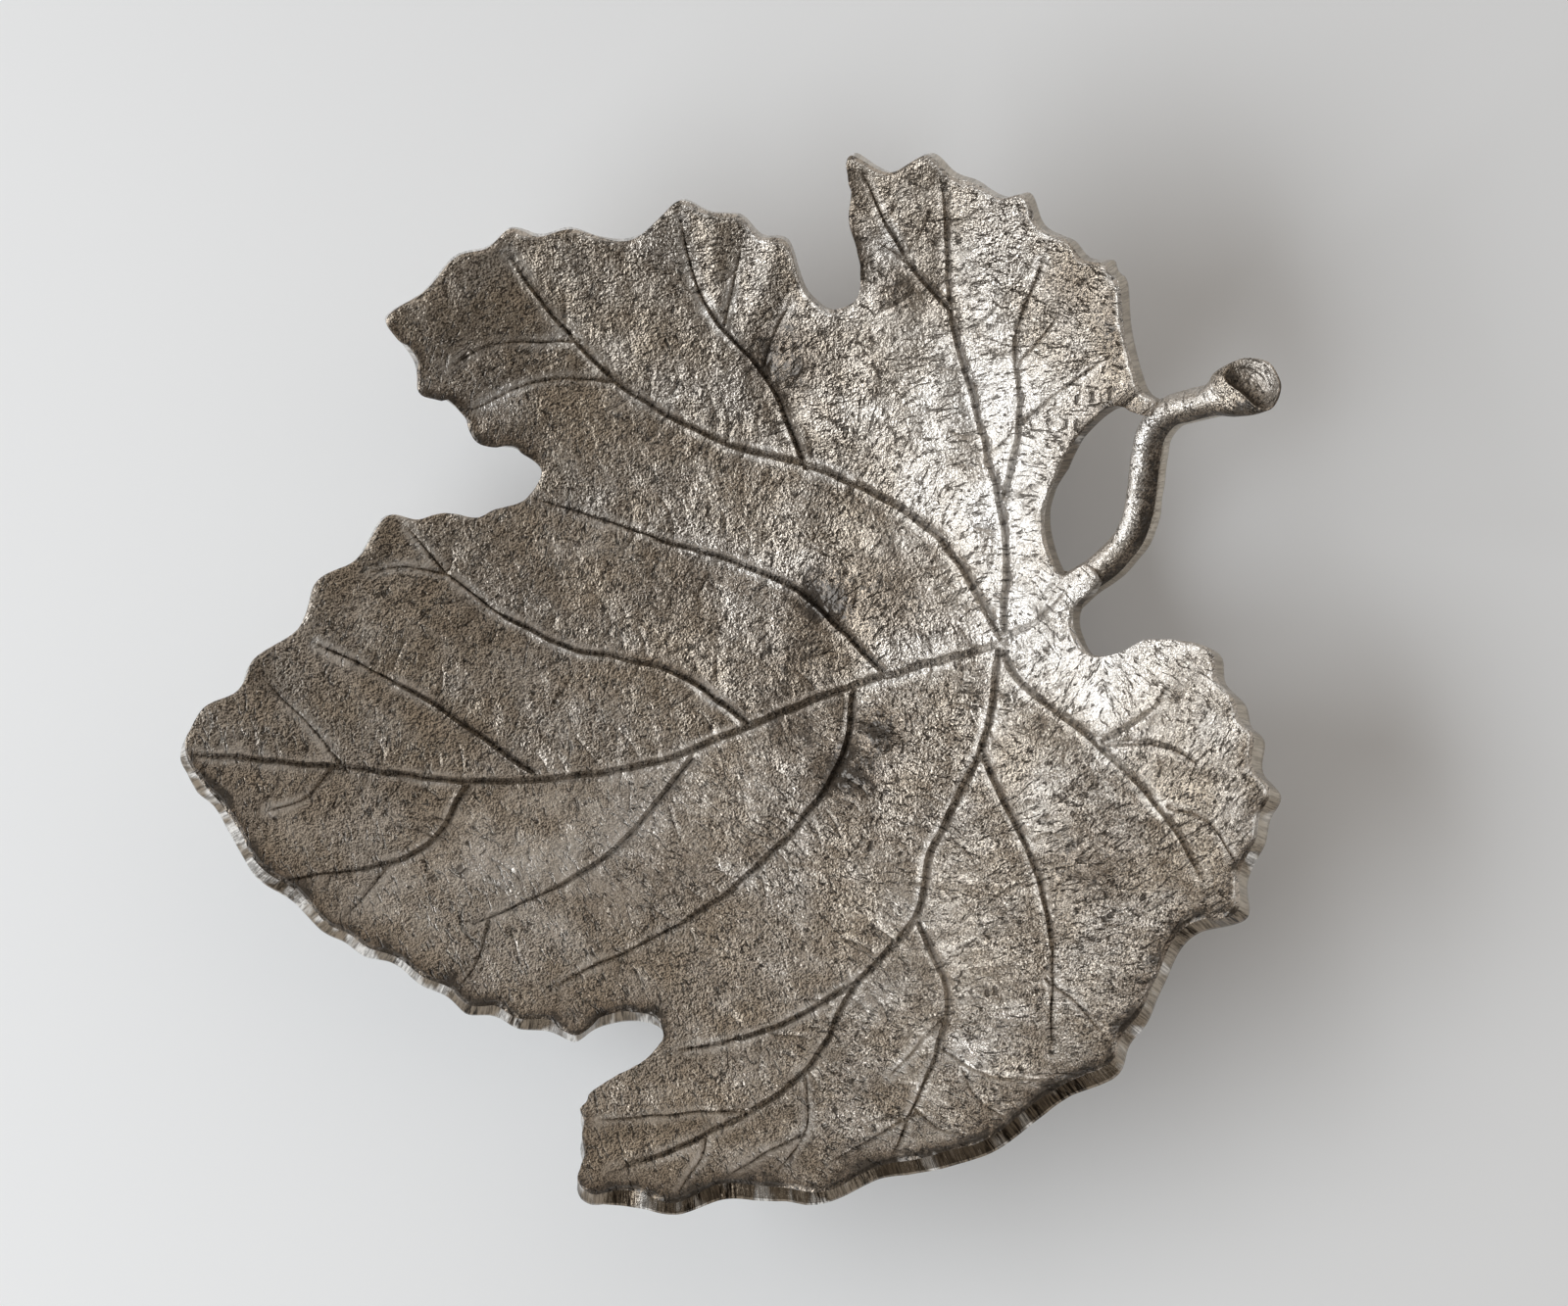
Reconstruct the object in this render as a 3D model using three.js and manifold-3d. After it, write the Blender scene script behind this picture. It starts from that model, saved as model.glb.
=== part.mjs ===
// A leaf-shaped bowl of sand-cast metal: a dished five-lobed blade with grooved veins,
// a stalk that is brazed to the blade at two places and so makes a finger loop, and three rubber feet.
// Units are millimetres, +Z is up, z = 0 is the table and +X points to the stalk's side of the leaf.
import * as THREE from 'three';
import { mergeVertices } from 'three/addons/utils/BufferGeometryUtils.js';
import Module from 'manifold-3d';

// Feet
const PAD_RADIUS = 6;
const PAD_HEIGHT = 2.5;
const PAD_CHAMFER = 0.8;
const BOSS_MARGIN = 1.5; // the cast boss is this much wider than the pad, all round
const FOOT_CIRCLE = 38; // distance of each foot from the middle of the dish
const FOOT_COUNT = 3;
const FOOT_TURN = Math.PI / 2; // direction of the first foot
const GLUE_GAP = 0.1;

// Blade
const LEAF_SPAN = 242; // from lobe tip to lobe tip along X, at the upper edge
const LEAF_MIDDLE = new THREE.Vector2(0.9, -0.5); // the point of the drawing that is over the origin
const WALL = 5.5; // casting thickness, square to the surface
const UNDER_CLEARANCE = 2; // from the top of the pads to the lowest part of the underside
const DISH_CENTRE = new THREE.Vector2(2, 1.5);
const DISH_RADIUS = 125;
const DISH_DEPTH = 44; // rise of the inner surface over the dish radius
const FOLD_DEPTH = 1.6; // how far the blade sinks along each main rib
const FOLD_WIDTH = 13;
const FACET = 10; // grid step of the dished surface
const EDGE_STEP = 2.8; // spacing of points along the margin

// Veins: grooves above, and raised ribs below the five main ones
const RIB_WIDTH = 2.6;
const RIB_DEPTH = 1.1;
const SIDE_WIDTH = 1.9;
const SIDE_DEPTH = 0.8;
const VEIN_TAPER = 0.55; // share of its width and depth that a vein loses towards its end
const VEIN_STEP = 8;
const UNDER_RIB_WIDTH = 4;
const UNDER_RIB_HEIGHT = 1.3;

// Stalk: a round crown over a flat-sided belly, measured from the middle of the casting's wall
const STALK_WIDTH = 7.8;
const STALK_CROWN = 4.3;
const STALK_BELLY = 3;
const STALK_STEPS = 34;
const STALK_SIDES = 16;
const FLARE_LENGTH = 13;
const FLARE_WIDTH = 15;
const FLARE_CROWN = 2;
const FLARE_BELLY = 7.5;
const FLARE_TURN = 0.7; // the cut end is turned this far towards the leaf, in radians
const FLARE_TILT = 0.95; // and faces upwards by this much
const FLARE_LIFT = 3; // the end curls up by this much
const HOLLOW_DEPTH = 2.4; // dish in the cut end
const HOLLOW_LIP = 1.2;
const BRAZE_GAP = 0.3;

const METAL_COLOUR = 0x9f978b;
const RUBBER_COLOUR = 0x2b2a29;

// The drawing of the leaf, seen from above. It is scaled as a whole, so that the blade is LEAF_SPAN wide.
// The margin runs counter-clockwise from the stalk's root. A tooth is the tip of a rounded scallop, and its
// third number is the dip to the next tip as a share of their distance. The other stretches are smooth.
const MARGIN = [
  { smooth: [[75.5, 23.5], [72, 30], [71.5, 38], [75, 46.5], [80.5, 54], [86.5, 58.5], [91, 58]] },
  { smooth: [[96.5, 56], [97.5, 59.5], [94.5, 62]] },
  { teeth: [[93, 65.5, 0.03], [89.5, 85.5, 0.1], [87, 89.5, 0.18], [78.5, 95, 0.16], [69, 105, 0.13],
    [59, 108, 0.08], [47.5, 115, 0.2], [30, 116, 0], [29, 115, 0.03], [28.5, 101.5, 0.03], [30.5, 89, 0]] },
  { smooth: [[29, 86], [23.5, 84.5], [18.5, 88]] },
  { teeth: [[14, 99, 0.15], [4, 104.5, 0.06], [-9.5, 108, 0.2], [-35, 102, 0.1], [-48, 102, 0.08],
    [-60, 95.5, 0.04], [-76, 81.5, 0], [-73.5, 77, 0.1], [-70, 66, 0.12], [-61, 60.5, 0.06]] },
  { smooth: [[-58, 55.5], [-49.5, 54], [-44, 50], [-48, 44], [-55.5, 40.5], [-58.5, 39]] },
  { teeth: [[-65.5, 40, 0.1], [-78, 39, 0.1], [-93, 23.5, 0.13], [-106.5, 5, 0.15], [-116, -6.5, 0],
    [-120.5, -17, 0.02], [-103.5, -43, 0.06], [-89, -55.5, 0.04], [-80.5, -60.5, 0.08],
    [-68.5, -67, 0.06], [-58, -73.5, 0.1], [-47, -76.5, 0.08], [-34, -79.5, 0]] },
  { smooth: [[-29.5, -76.5], [-22.5, -74.5], [-17, -75.5], [-15, -80], [-18.5, -85], [-23.5, -88]] },
  { teeth: [[-30, -92.5, 0.1], [-32, -96, 0.06], [-31.5, -102.5, 0.08], [-31, -111.5, 0],
    [-28, -114.5, 0.05], [-9.5, -117, 0.1], [13, -114, 0], [23.5, -114.5, 0.06], [50, -106, 0],
    [59.5, -103, 0.04], [86.5, -86, 0.08], [93, -75.5, 0.05]] },
  { smooth: [[100, -59.5], [103.5, -56.5]] },
  { teeth: [[114, -53.5, 0.1], [118.5, -38, 0.06], [121.5, -27.5, 0.16], [118, -15, 0.12],
    [114, -7, 0.1], [108.5, 4.5, 0], [95, 8, 0]] },
  { smooth: [[88, 5.5], [81.5, 5.5], [78, 10.5], [78, 15.5], [82, 19.5], [84, 22], [81.5, 25.5]] },
];

// Five main ribs run from the base of the leaf into its lobes, and side veins branch from them.
const RIBS = [
  [[61.5, 11.5], [62.5, 32.5], [57, 59], [51.5, 83], [51, 109.5]],
  [[61, 10.5], [46, 34.5], [22.5, 49], [-5.5, 58], [-27.5, 71], [-39.5, 83.5], [-48.5, 97]],
  [[60.5, 9], [25.5, 0.5], [-5, -11], [-19, -16.5], [-56.5, -21.5], [-90, -18.5], [-118.5, -17]],
  [[60.5, 8.5], [57, -13], [45, -38], [41.5, -53], [28, -69], [18, -87.5], [-5, -102.5], [-24, -110]],
  [[61, 8.5], [64.5, 1.5], [83.5, -15], [98.5, -31.5], [107, -46.5]],
];
const SIDE_VEINS = [
  [[62.5, 42.5], [66.5, 58.5], [66, 76], [73, 91.5]],
  [[51.5, 83], [42.5, 93], [32.5, 112.5]],
  [[16, 50.5], [8, 70.5], [-5.5, 87], [-9.5, 104]],
  [[34.5, 2.5], [12.5, 23.5], [-18.5, 35], [-46, 44]],
  [[2, -7.5], [-15.5, 4.5], [-42, 11], [-65, 25.5], [-73.5, 36]],
  [[-46.5, -19.5], [-72.5, -1.5], [-93, 9]],
  [[-61, -22], [-70.5, -37.5], [-97.5, -45]],
  [[-11, -15.5], [-31, -39.5], [-58, -54.5]],
  [[26.5, 0], [23.5, -17.5], [-2.5, -47.5], [-40.5, -69]],
  [[28.5, -68], [7, -79], [-11, -83]],
  [[41.5, -52.5], [49.5, -73], [38.5, -106.5]],
  [[56.5, -15.5], [72, -52.5], [73.5, -84]],
  [[84, -14.5], [95.5, -7.5], [99.5, -2.5]],
  [[84, -14.5], [99, -16], [105.5, -20]],
  [[61.5, 10.5], [70, 14], [76.5, 20]],
];
const STALK_ROUTE = [[78, 21.5], [83, 24.5], [88, 28.5], [91.5, 34], [93, 41], [94, 48], [95.5, 53.5],
  [99, 57], [104.5, 58], [111.5, 59], [118, 60]];

const wasm = await Module();
wasm.setup();

// The dished surface

const drawnMargin = MARGIN.flatMap((stretch) => stretch.smooth ?? stretch.teeth);
const drawnSpan = Math.max(...drawnMargin.map(([x]) => x)) - Math.min(...drawnMargin.map(([x]) => x));
const drawingScale = LEAF_SPAN / drawnSpan;

// A curve through points of the drawing, at full size and in place.
function flatCurve(points, closed = false) {
  const flat = points.map(([x, y]) => (
    new THREE.Vector3((x - LEAF_MIDDLE.x) * drawingScale, (y - LEAF_MIDDLE.y) * drawingScale, 0)
  ));
  return new THREE.CatmullRomCurve3(flat, closed, 'centripetal');
}

const ribLines = RIBS.map((route) => flatCurve(route).getSpacedPoints(24));

function distanceToRibs(x, y) {
  const point = new THREE.Vector3(x, y, 0);
  const nearest = new THREE.Vector3();
  let least = Infinity;
  for (const line of ribLines) {
    for (let i = 1; i < line.length; i += 1) {
      new THREE.Line3(line[i - 1], line[i]).closestPointToPoint(point, true, nearest);
      least = Math.min(least, nearest.distanceTo(point));
    }
  }
  return least;
}

const dishFloor = PAD_HEIGHT + GLUE_GAP + UNDER_CLEARANCE + WALL;
const dishCurve = DISH_DEPTH / DISH_RADIUS ** 2;

function surfaceHeight(x, y) {
  const bowl = dishCurve * ((x - DISH_CENTRE.x) ** 2 + (y - DISH_CENTRE.y) ** 2);
  const fold = FOLD_DEPTH * Math.exp(-((distanceToRibs(x, y) / FOLD_WIDTH) ** 2));
  return dishFloor + FOLD_DEPTH + bowl - fold;
}

function surfacePoint(x, y) {
  return new THREE.Vector3(x, y, surfaceHeight(x, y));
}

function surfaceNormal(x, y) {
  const slopeX = 2 * dishCurve * (x - DISH_CENTRE.x);
  const slopeY = 2 * dishCurve * (y - DISH_CENTRE.y);
  return new THREE.Vector3(-slopeX, -slopeY, 1).normalize();
}

function undersideHeight(x, y) {
  return surfaceHeight(x, y) - WALL / surfaceNormal(x, y).z;
}

// Closed meshes and solids

function closedGeometry(vertices, triangles) {
  const geometry = new THREE.BufferGeometry();
  const flat = vertices.flatMap((v) => [v.x, v.y, v.z]);
  geometry.setAttribute('position', new THREE.Float32BufferAttribute(flat, 3));
  geometry.setIndex(outwards(vertices, triangles).flat());
  return geometry;
}

// Turns every triangle over when the mesh is inside out.
function outwards(vertices, triangles) {
  const cross = new THREE.Vector3();
  let volume = 0;
  for (const [a, b, c] of triangles) {
    volume += vertices[a].dot(cross.crossVectors(vertices[b], vertices[c]));
  }
  return volume < 0 ? triangles.map(([a, b, c]) => [a, c, b]) : triangles;
}

// Joins rings of equal size, and closes both ends with fans, or with the given triangles.
function loft(rings, startCap = null, endCap = null) {
  const count = rings[0].length;
  const fan = Array.from({ length: count - 2 }, (_, i) => [0, i + 1, i + 2]);
  const triangles = [];
  for (let ring = 0; ring + 1 < rings.length; ring += 1) {
    for (let i = 0; i < count; i += 1) {
      const here = ring * count + i;
      const beside = ring * count + ((i + 1) % count);
      triangles.push([here, beside, beside + count], [here, beside + count, here + count]);
    }
  }
  const last = (rings.length - 1) * count;
  for (const [a, b, c] of startCap ?? fan) triangles.push([a, c, b]);
  for (const [a, b, c] of endCap ?? fan) triangles.push([last + a, last + b, last + c]);
  return closedGeometry(rings.flat(), triangles);
}

function solid(geometry) {
  const bare = geometry.clone();
  bare.deleteAttribute('normal');
  bare.deleteAttribute('uv');
  const merged = mergeVertices(bare, 1e-4);
  const mesh = new wasm.Mesh({
    numProp: 3,
    vertProperties: new Float32Array(merged.attributes.position.array),
    triVerts: new Uint32Array(merged.index.array),
  });
  return new wasm.Manifold(mesh);
}

function geometryOf(manifold) {
  const mesh = manifold.getMesh();
  const geometry = new THREE.BufferGeometry();
  geometry.setAttribute('position', new THREE.BufferAttribute(mesh.vertProperties.slice(), 3));
  geometry.setIndex(new THREE.BufferAttribute(mesh.triVerts.slice(), 1));
  const faceted = geometry.toNonIndexed();
  faceted.computeVertexNormals();
  return faceted;
}

// The blade

function marginPoints() {
  const points = [];
  for (const stretch of MARGIN) {
    points.push(...(stretch.smooth ?? []));
    const teeth = stretch.teeth ?? [];
    teeth.forEach(([x, y, dip], i) => {
      points.push([x, y]);
      if (i + 1 === teeth.length || dip === 0) return;
      const [nextX, nextY] = teeth[i + 1];
      const inwardX = -(nextY - y) * dip;
      const inwardY = (nextX - x) * dip;
      points.push([(x + nextX) / 2 + inwardX, (y + nextY) / 2 + inwardY]);
    });
  }
  const curve = flatCurve(points, true);
  const count = Math.round(curve.getLength() / EDGE_STEP);
  return curve.getSpacedPoints(count).slice(0, count);
}

// A slab of even wall thickness that follows the dished surface, larger than the leaf.
function dishedSlab() {
  const reach = Math.max(...drawnMargin.map(([x, y]) => Math.max(Math.abs(x), Math.abs(y))));
  const half = reach * drawingScale + 2 * FACET;
  const cells = Math.round((2 * half) / FACET);
  const side = cells + 1;
  const at = (i) => -half + (2 * half * i) / cells;
  const places = [];
  for (let row = 0; row < side; row += 1) {
    for (let column = 0; column < side; column += 1) {
      places.push([at(column), at(row)]);
    }
  }
  const upper = places.map(([x, y]) => surfacePoint(x, y));
  const lower = places.map(([x, y]) => new THREE.Vector3(x, y, undersideHeight(x, y)));
  const under = places.length;
  const triangles = [];
  for (let row = 0; row < cells; row += 1) {
    for (let column = 0; column < cells; column += 1) {
      const a = row * side + column;
      const [b, c, d] = [a + 1, a + side + 1, a + side];
      const halves = (row + column) % 2 ? [[a, b, c], [a, c, d]] : [[a, b, d], [b, c, d]];
      for (const [p, q, r] of halves) {
        triangles.push([p, q, r], [under + p, under + r, under + q]);
      }
    }
  }
  const border = [];
  for (let i = 0; i < cells; i += 1) border.push(i);
  for (let i = 0; i < cells; i += 1) border.push(i * side + cells);
  for (let i = cells; i > 0; i -= 1) border.push(cells * side + i);
  for (let i = cells; i > 0; i -= 1) border.push(i * side);
  border.forEach((a, i) => {
    const b = border[(i + 1) % border.length];
    triangles.push([a, under + a, under + b], [a, under + b, b]);
  });
  return closedGeometry([...upper, ...lower], triangles);
}

// The leaf's outline as a solid. Its walls stand square to the dish through the casting's thickness.
function marginCutter() {
  const above = 2 * WALL;
  const below = 1.5 * WALL;
  const margin = marginPoints();
  const shifted = (p, distance) => surfacePoint(p.x, p.y).addScaledVector(surfaceNormal(p.x, p.y), distance);
  const top = margin.map((p) => shifted(p, above));
  const middle = margin.map((p) => shifted(p, -below));
  const bottom = middle.map((p) => new THREE.Vector3(p.x, p.y, -DISH_DEPTH));
  const flat = (ring) => ring.map((p) => new THREE.Vector2(p.x, p.y));
  const startCap = THREE.ShapeUtils.triangulateShape(flat(bottom), []);
  const endCap = THREE.ShapeUtils.triangulateShape(flat(top), []);
  return loft([bottom, middle, top], startCap, endCap);
}

// Sweeps a small section along a route on the surface. The section gives, for each place along the
// route, its points as distances to the left of the route and up from the surface.
function alongSurface(route, section) {
  const curve = flatCurve(route);
  const steps = Math.max(4, Math.round(curve.getLength() / VEIN_STEP));
  const rings = [];
  for (let i = 0; i <= steps; i += 1) {
    const place = curve.getPointAt(i / steps);
    const up = surfaceNormal(place.x, place.y);
    const left = new THREE.Vector3().crossVectors(up, curve.getTangentAt(i / steps)).normalize();
    const origin = surfacePoint(place.x, place.y);
    const points = section(1 - (VEIN_TAPER * i) / steps);
    rings.push(points.map(([across, rise]) => (
      origin.clone().addScaledVector(left, across).addScaledVector(up, rise)
    )));
  }
  return loft(rings);
}

function veinGroove(route, width, depth) {
  const overcut = 1;
  return alongSurface(route, (share) => {
    const deep = depth * share;
    const half = (width * share * (deep + overcut)) / deep / 2;
    return [[0, -deep], [half, overcut], [-half, overcut]];
  });
}

function underRib(route) {
  const inside = WALL / 2;
  return alongSurface(route, (share) => {
    const half = (UNDER_RIB_WIDTH * share) / 2;
    const foot = -WALL - UNDER_RIB_HEIGHT * share;
    return [[half, -inside], [half, -WALL], [half / 2, foot], [-half / 2, foot], [-half, -WALL], [-half, -inside]];
  });
}

function footPlaces() {
  return Array.from({ length: FOOT_COUNT }, (_, i) => {
    const turn = FOOT_TURN + (2 * Math.PI * i) / FOOT_COUNT;
    const reach = new THREE.Vector2(FOOT_CIRCLE, 0).rotateAround(new THREE.Vector2(), turn);
    return reach.add(DISH_CENTRE);
  });
}

function footBoss(place) {
  const bottom = PAD_HEIGHT + GLUE_GAP;
  const height = surfaceHeight(place.x, place.y) - WALL / 2 - bottom;
  const boss = new THREE.CylinderGeometry(PAD_RADIUS + BOSS_MARGIN, PAD_RADIUS + BOSS_MARGIN, height, 28);
  boss.rotateX(Math.PI / 2);
  boss.translate(place.x, place.y, bottom + height / 2);
  return boss;
}

function bladeGeometry() {
  let blade = solid(dishedSlab()).intersect(solid(marginCutter()));
  for (const route of RIBS) blade = blade.add(solid(underRib(route.slice(0, -1))));
  for (const place of footPlaces()) blade = blade.add(solid(footBoss(place)));
  for (const route of RIBS) blade = blade.subtract(solid(veinGroove(route, RIB_WIDTH, RIB_DEPTH)));
  for (const route of SIDE_VEINS) blade = blade.subtract(solid(veinGroove(route, SIDE_WIDTH, SIDE_DEPTH)));
  blade = blade.subtract(solid(stalkLoft(BRAZE_GAP)));
  return geometryOf(blade);
}

// The stalk

function stalkFrames() {
  const spine = flatCurve(STALK_ROUTE).getSpacedPoints(STALK_STEPS).map((p) => (
    surfacePoint(p.x, p.y).addScaledVector(surfaceNormal(p.x, p.y), -WALL / 2)
  ));
  const line = new THREE.CatmullRomCurve3(spine, false, 'centripetal');
  const length = line.getLength();
  const frames = [];
  for (let i = 0; i <= STALK_STEPS; i += 1) {
    const place = line.getPointAt(i / STALK_STEPS);
    const toEnd = length * (1 - i / STALK_STEPS);
    const flare = THREE.MathUtils.smoothstep(FLARE_LENGTH - toEnd, 0, FLARE_LENGTH);
    const blend = (plain, flared) => THREE.MathUtils.lerp(plain, flared, flare);
    const normal = surfaceNormal(place.x, place.y);
    const left = new THREE.Vector3().crossVectors(normal, line.getTangentAt(i / STALK_STEPS)).normalize();
    left.applyAxisAngle(normal, FLARE_TURN * flare);
    frames.push({
      place: place.addScaledVector(normal, FLARE_LIFT * flare),
      left,
      up: normal.applyAxisAngle(left, -FLARE_TILT * flare),
      halfWidth: blend(STALK_WIDTH, FLARE_WIDTH) / 2,
      crown: blend(STALK_CROWN, FLARE_CROWN),
      belly: blend(STALK_BELLY, FLARE_BELLY),
      bellySquareness: blend(0.45, 1),
    });
  }
  return frames;
}

// The way a section faces, towards the cut end.
function facing(frame) {
  return new THREE.Vector3().crossVectors(frame.left, frame.up).normalize();
}

function stalkLoft(extra) {
  const frames = stalkFrames();
  frames[0].place.addScaledVector(facing(frames[0]), -extra);
  const rings = frames.map((frame) => Array.from({ length: STALK_SIDES }, (_, i) => {
    const turn = (2 * Math.PI * i) / STALK_SIDES;
    const below = turn > Math.PI;
    const bend = (value) => Math.sign(value) * Math.abs(value) ** (below ? frame.bellySquareness : 0.9);
    const rise = below ? frame.belly : frame.crown;
    return frame.place.clone()
      .addScaledVector(frame.left, bend(Math.cos(turn)) * (frame.halfWidth + extra))
      .addScaledVector(frame.up, bend(Math.sin(turn)) * (rise + extra));
  }));
  return loft(rings);
}

function stalkGeometry() {
  const end = stalkFrames().at(-1);
  const middle = end.place.clone().addScaledVector(end.up, (end.crown - end.belly) / 2);
  const hollow = new THREE.SphereGeometry(1, 24, 16);
  hollow.scale(end.halfWidth - HOLLOW_LIP, (end.crown + end.belly) / 2 - HOLLOW_LIP, HOLLOW_DEPTH);
  hollow.applyMatrix4(new THREE.Matrix4().makeBasis(end.left, end.up, facing(end)));
  hollow.translate(middle.x, middle.y, middle.z);
  return geometryOf(solid(stalkLoft(0)).subtract(solid(hollow)));
}

// The rubber feet

function padGeometry() {
  const profile = [
    [0, 0],
    [PAD_RADIUS - PAD_CHAMFER, 0],
    [PAD_RADIUS, PAD_CHAMFER],
    [PAD_RADIUS, PAD_HEIGHT],
    [0, PAD_HEIGHT],
  ];
  const pad = new THREE.LatheGeometry(profile.map(([r, z]) => new THREE.Vector2(r, z)), 28);
  pad.rotateX(Math.PI / 2);
  return pad;
}

function metal() {
  return new THREE.MeshStandardMaterial({ color: METAL_COLOUR, roughness: 0.42, metalness: 1 });
}

function rubber() {
  return new THREE.MeshStandardMaterial({ color: RUBBER_COLOUR, roughness: 0.9, metalness: 0 });
}

function named(name, geometry, material) {
  const mesh = new THREE.Mesh(geometry, material);
  mesh.name = name;
  return mesh;
}

const bowl = new THREE.Group();
bowl.add(named('leaf_bowl', bladeGeometry(), metal()));
bowl.add(named('stalk_handle', stalkGeometry(), metal()));
footPlaces().forEach((place, i) => {
  const pad = named(`rubber_foot_${i + 1}`, padGeometry(), rubber());
  pad.position.set(place.x, place.y, 0);
  bowl.add(pad);
});

export default bowl;
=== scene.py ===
# %% [markdown]
# # A leaf bowl of cast metal
# The bowl is a dished leaf with five lobes, cast in sand, with grooved veins and a ground edge. A stalk
# is brazed on at two places and leaves a finger loop, and three rubber feet are glued below. This lesson
# dresses the solids of the CAD model: each solid gets a finer piece that stands in the same place.

import math

import bpy
import numpy as np
from mathutils import Matrix, Vector, noise
from mathutils.geometry import delaunay_2d_cdt


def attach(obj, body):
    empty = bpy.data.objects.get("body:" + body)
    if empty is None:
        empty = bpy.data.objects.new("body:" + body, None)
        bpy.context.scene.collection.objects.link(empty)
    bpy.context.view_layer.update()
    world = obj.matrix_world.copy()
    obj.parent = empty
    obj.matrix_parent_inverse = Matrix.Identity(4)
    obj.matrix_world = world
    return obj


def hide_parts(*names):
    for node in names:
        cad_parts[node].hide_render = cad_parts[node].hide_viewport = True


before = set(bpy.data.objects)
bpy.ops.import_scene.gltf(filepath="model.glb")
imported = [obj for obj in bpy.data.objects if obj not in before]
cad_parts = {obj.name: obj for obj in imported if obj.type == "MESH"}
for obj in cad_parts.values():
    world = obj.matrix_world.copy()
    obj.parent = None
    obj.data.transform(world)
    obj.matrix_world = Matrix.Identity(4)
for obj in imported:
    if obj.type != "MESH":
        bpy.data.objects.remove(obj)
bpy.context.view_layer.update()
bpy.ops.object.select_all(action="DESELECT")
print("CAD nodes:", sorted(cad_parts))

# %% [markdown]
# ## Camera
# The photograph looks down on the bowl, a little from the right and from the near side. A long lens from
# about a metre away keeps the lobes in proportion. The drawing below was measured with the same camera.

# %% Camera
MM = 0.001
LOOKED_AT = Vector((11.1, 7.5, 25)) * MM
CAMERA_DISTANCE = 0.99
LEAN_RIGHT = math.radians(7)
LEAN_NEAR = math.radians(6)

towards_camera = Vector((math.tan(LEAN_RIGHT), -math.tan(LEAN_NEAR), 1)).normalized()
camera_right = Vector((0, 1, 0)).cross(towards_camera).normalized()
camera_up = towards_camera.cross(camera_right)
bpy.ops.object.camera_add()
camera = bpy.context.object
turn = Matrix((camera_right, camera_up, towards_camera)).transposed()
camera.matrix_world = Matrix.Translation(LOOKED_AT + towards_camera * CAMERA_DISTANCE) @ turn.to_4x4()
camera.data.lens = 100
camera.data.sensor_width = 36
bpy.context.scene.camera = camera
bpy.context.scene.view_settings.view_transform = "Standard"
print("Camera stands at", [round(c, 3) for c in camera.location])

# %% [markdown]
# ## Helpers for materials
# By hand a material is wired up in the shader editor, one node after another. In a script the same chain
# reads best as arithmetic, so a small class stands for a node's output, and each sum or product of such
# values adds a Math node.


# %% Material helpers
class Value:
    """The output of a node. Arithmetic with values adds nodes to the same node tree."""

    def __init__(self, tree, socket):
        self.tree = tree
        self.socket = socket

    def math(self, operation, first, second):
        return add_node(self.tree, "ShaderNodeMath", {0: first, 1: second}, 0, operation=operation)

    def __add__(self, other):
        return self.math("ADD", self, other)

    def __sub__(self, other):
        return self.math("SUBTRACT", self, other)

    def __rsub__(self, other):
        return self.math("SUBTRACT", other, self)

    def __mul__(self, other):
        return self.math("MULTIPLY", self, other)

    def most(self, other):
        return self.math("MAXIMUM", self, other)

    def ramp(self, low, high, to_low=0.0, to_high=1.0):
        inputs = {"Value": self, "From Min": low, "From Max": high, "To Min": to_low, "To Max": to_high}
        return add_node(self.tree, "ShaderNodeMapRange", inputs, "Result", interpolation_type="SMOOTHSTEP")

    def into(self, node, name):
        self.tree.links.new(self.socket, node.inputs[name])


def add_node(tree, kind, inputs, output, **settings):
    """Adds a node with these settings and inputs, and gives one of its outputs as a value."""
    node = tree.nodes.new(kind)
    for setting, value in settings.items():
        setattr(node, setting, value)
    for name, value in inputs.items():
        if isinstance(value, Value):
            value.into(node, name)
        else:
            node.inputs[name].default_value = value
    return Value(tree, node.outputs[output])


def new_material(name):
    material = bpy.data.materials.new(name)
    material.use_nodes = True
    return material, material.node_tree, material.node_tree.nodes["Principled BSDF"]


def object_coordinates(tree):
    return add_node(tree, "ShaderNodeTexCoord", {}, "Object")


def uv_of(tree, name):
    return add_node(tree, "ShaderNodeUVMap", {}, "UV", uv_map=name)


def attribute_of(tree, name):
    return add_node(tree, "ShaderNodeAttribute", {}, "Fac", attribute_name=name)


def scaled(vector, scale):
    return add_node(vector.tree, "ShaderNodeMapping", {"Vector": vector, "Scale": scale}, 0)


def moved(vector, step):
    return add_node(vector.tree, "ShaderNodeVectorMath", {0: vector, 1: step}, 0, operation="ADD")


def noise_of(vector, scale, detail=2.0, roughness=0.55, output="Fac"):
    inputs = {"Vector": vector, "Scale": scale, "Detail": detail, "Roughness": roughness}
    return add_node(vector.tree, "ShaderNodeTexNoise", inputs, output)


def colour_between(factor, *colours):
    first, second = (colour if isinstance(colour, Value) else (*colour, 1) for colour in colours)
    inputs = {"Factor": factor, 6: first, 7: second}
    return add_node(factor.tree, "ShaderNodeMix", inputs, 2, data_type="RGBA")


def bump_of(height, distance, strength=1.0, normal=None):
    inputs = {"Height": height, "Distance": distance, "Strength": strength}
    if normal is not None:
        inputs["Normal"] = normal
    return add_node(height.tree, "ShaderNodeBump", inputs, "Normal")


print("Helpers for materials are ready")

# %% [markdown]
# ## Light and floor
# One large soft lamp on the left shines across the dish, so the right wall mirrors it and the left wall
# stays dark. A dim warm world fills the shadows, a little brighter towards the back, so that the dark side
# keeps its form. The floor is a plain pale sheet that takes the shadow. A small glow, which only the camera
# and mirrored rays can see, makes it paler without any more light on the bowl.

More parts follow.
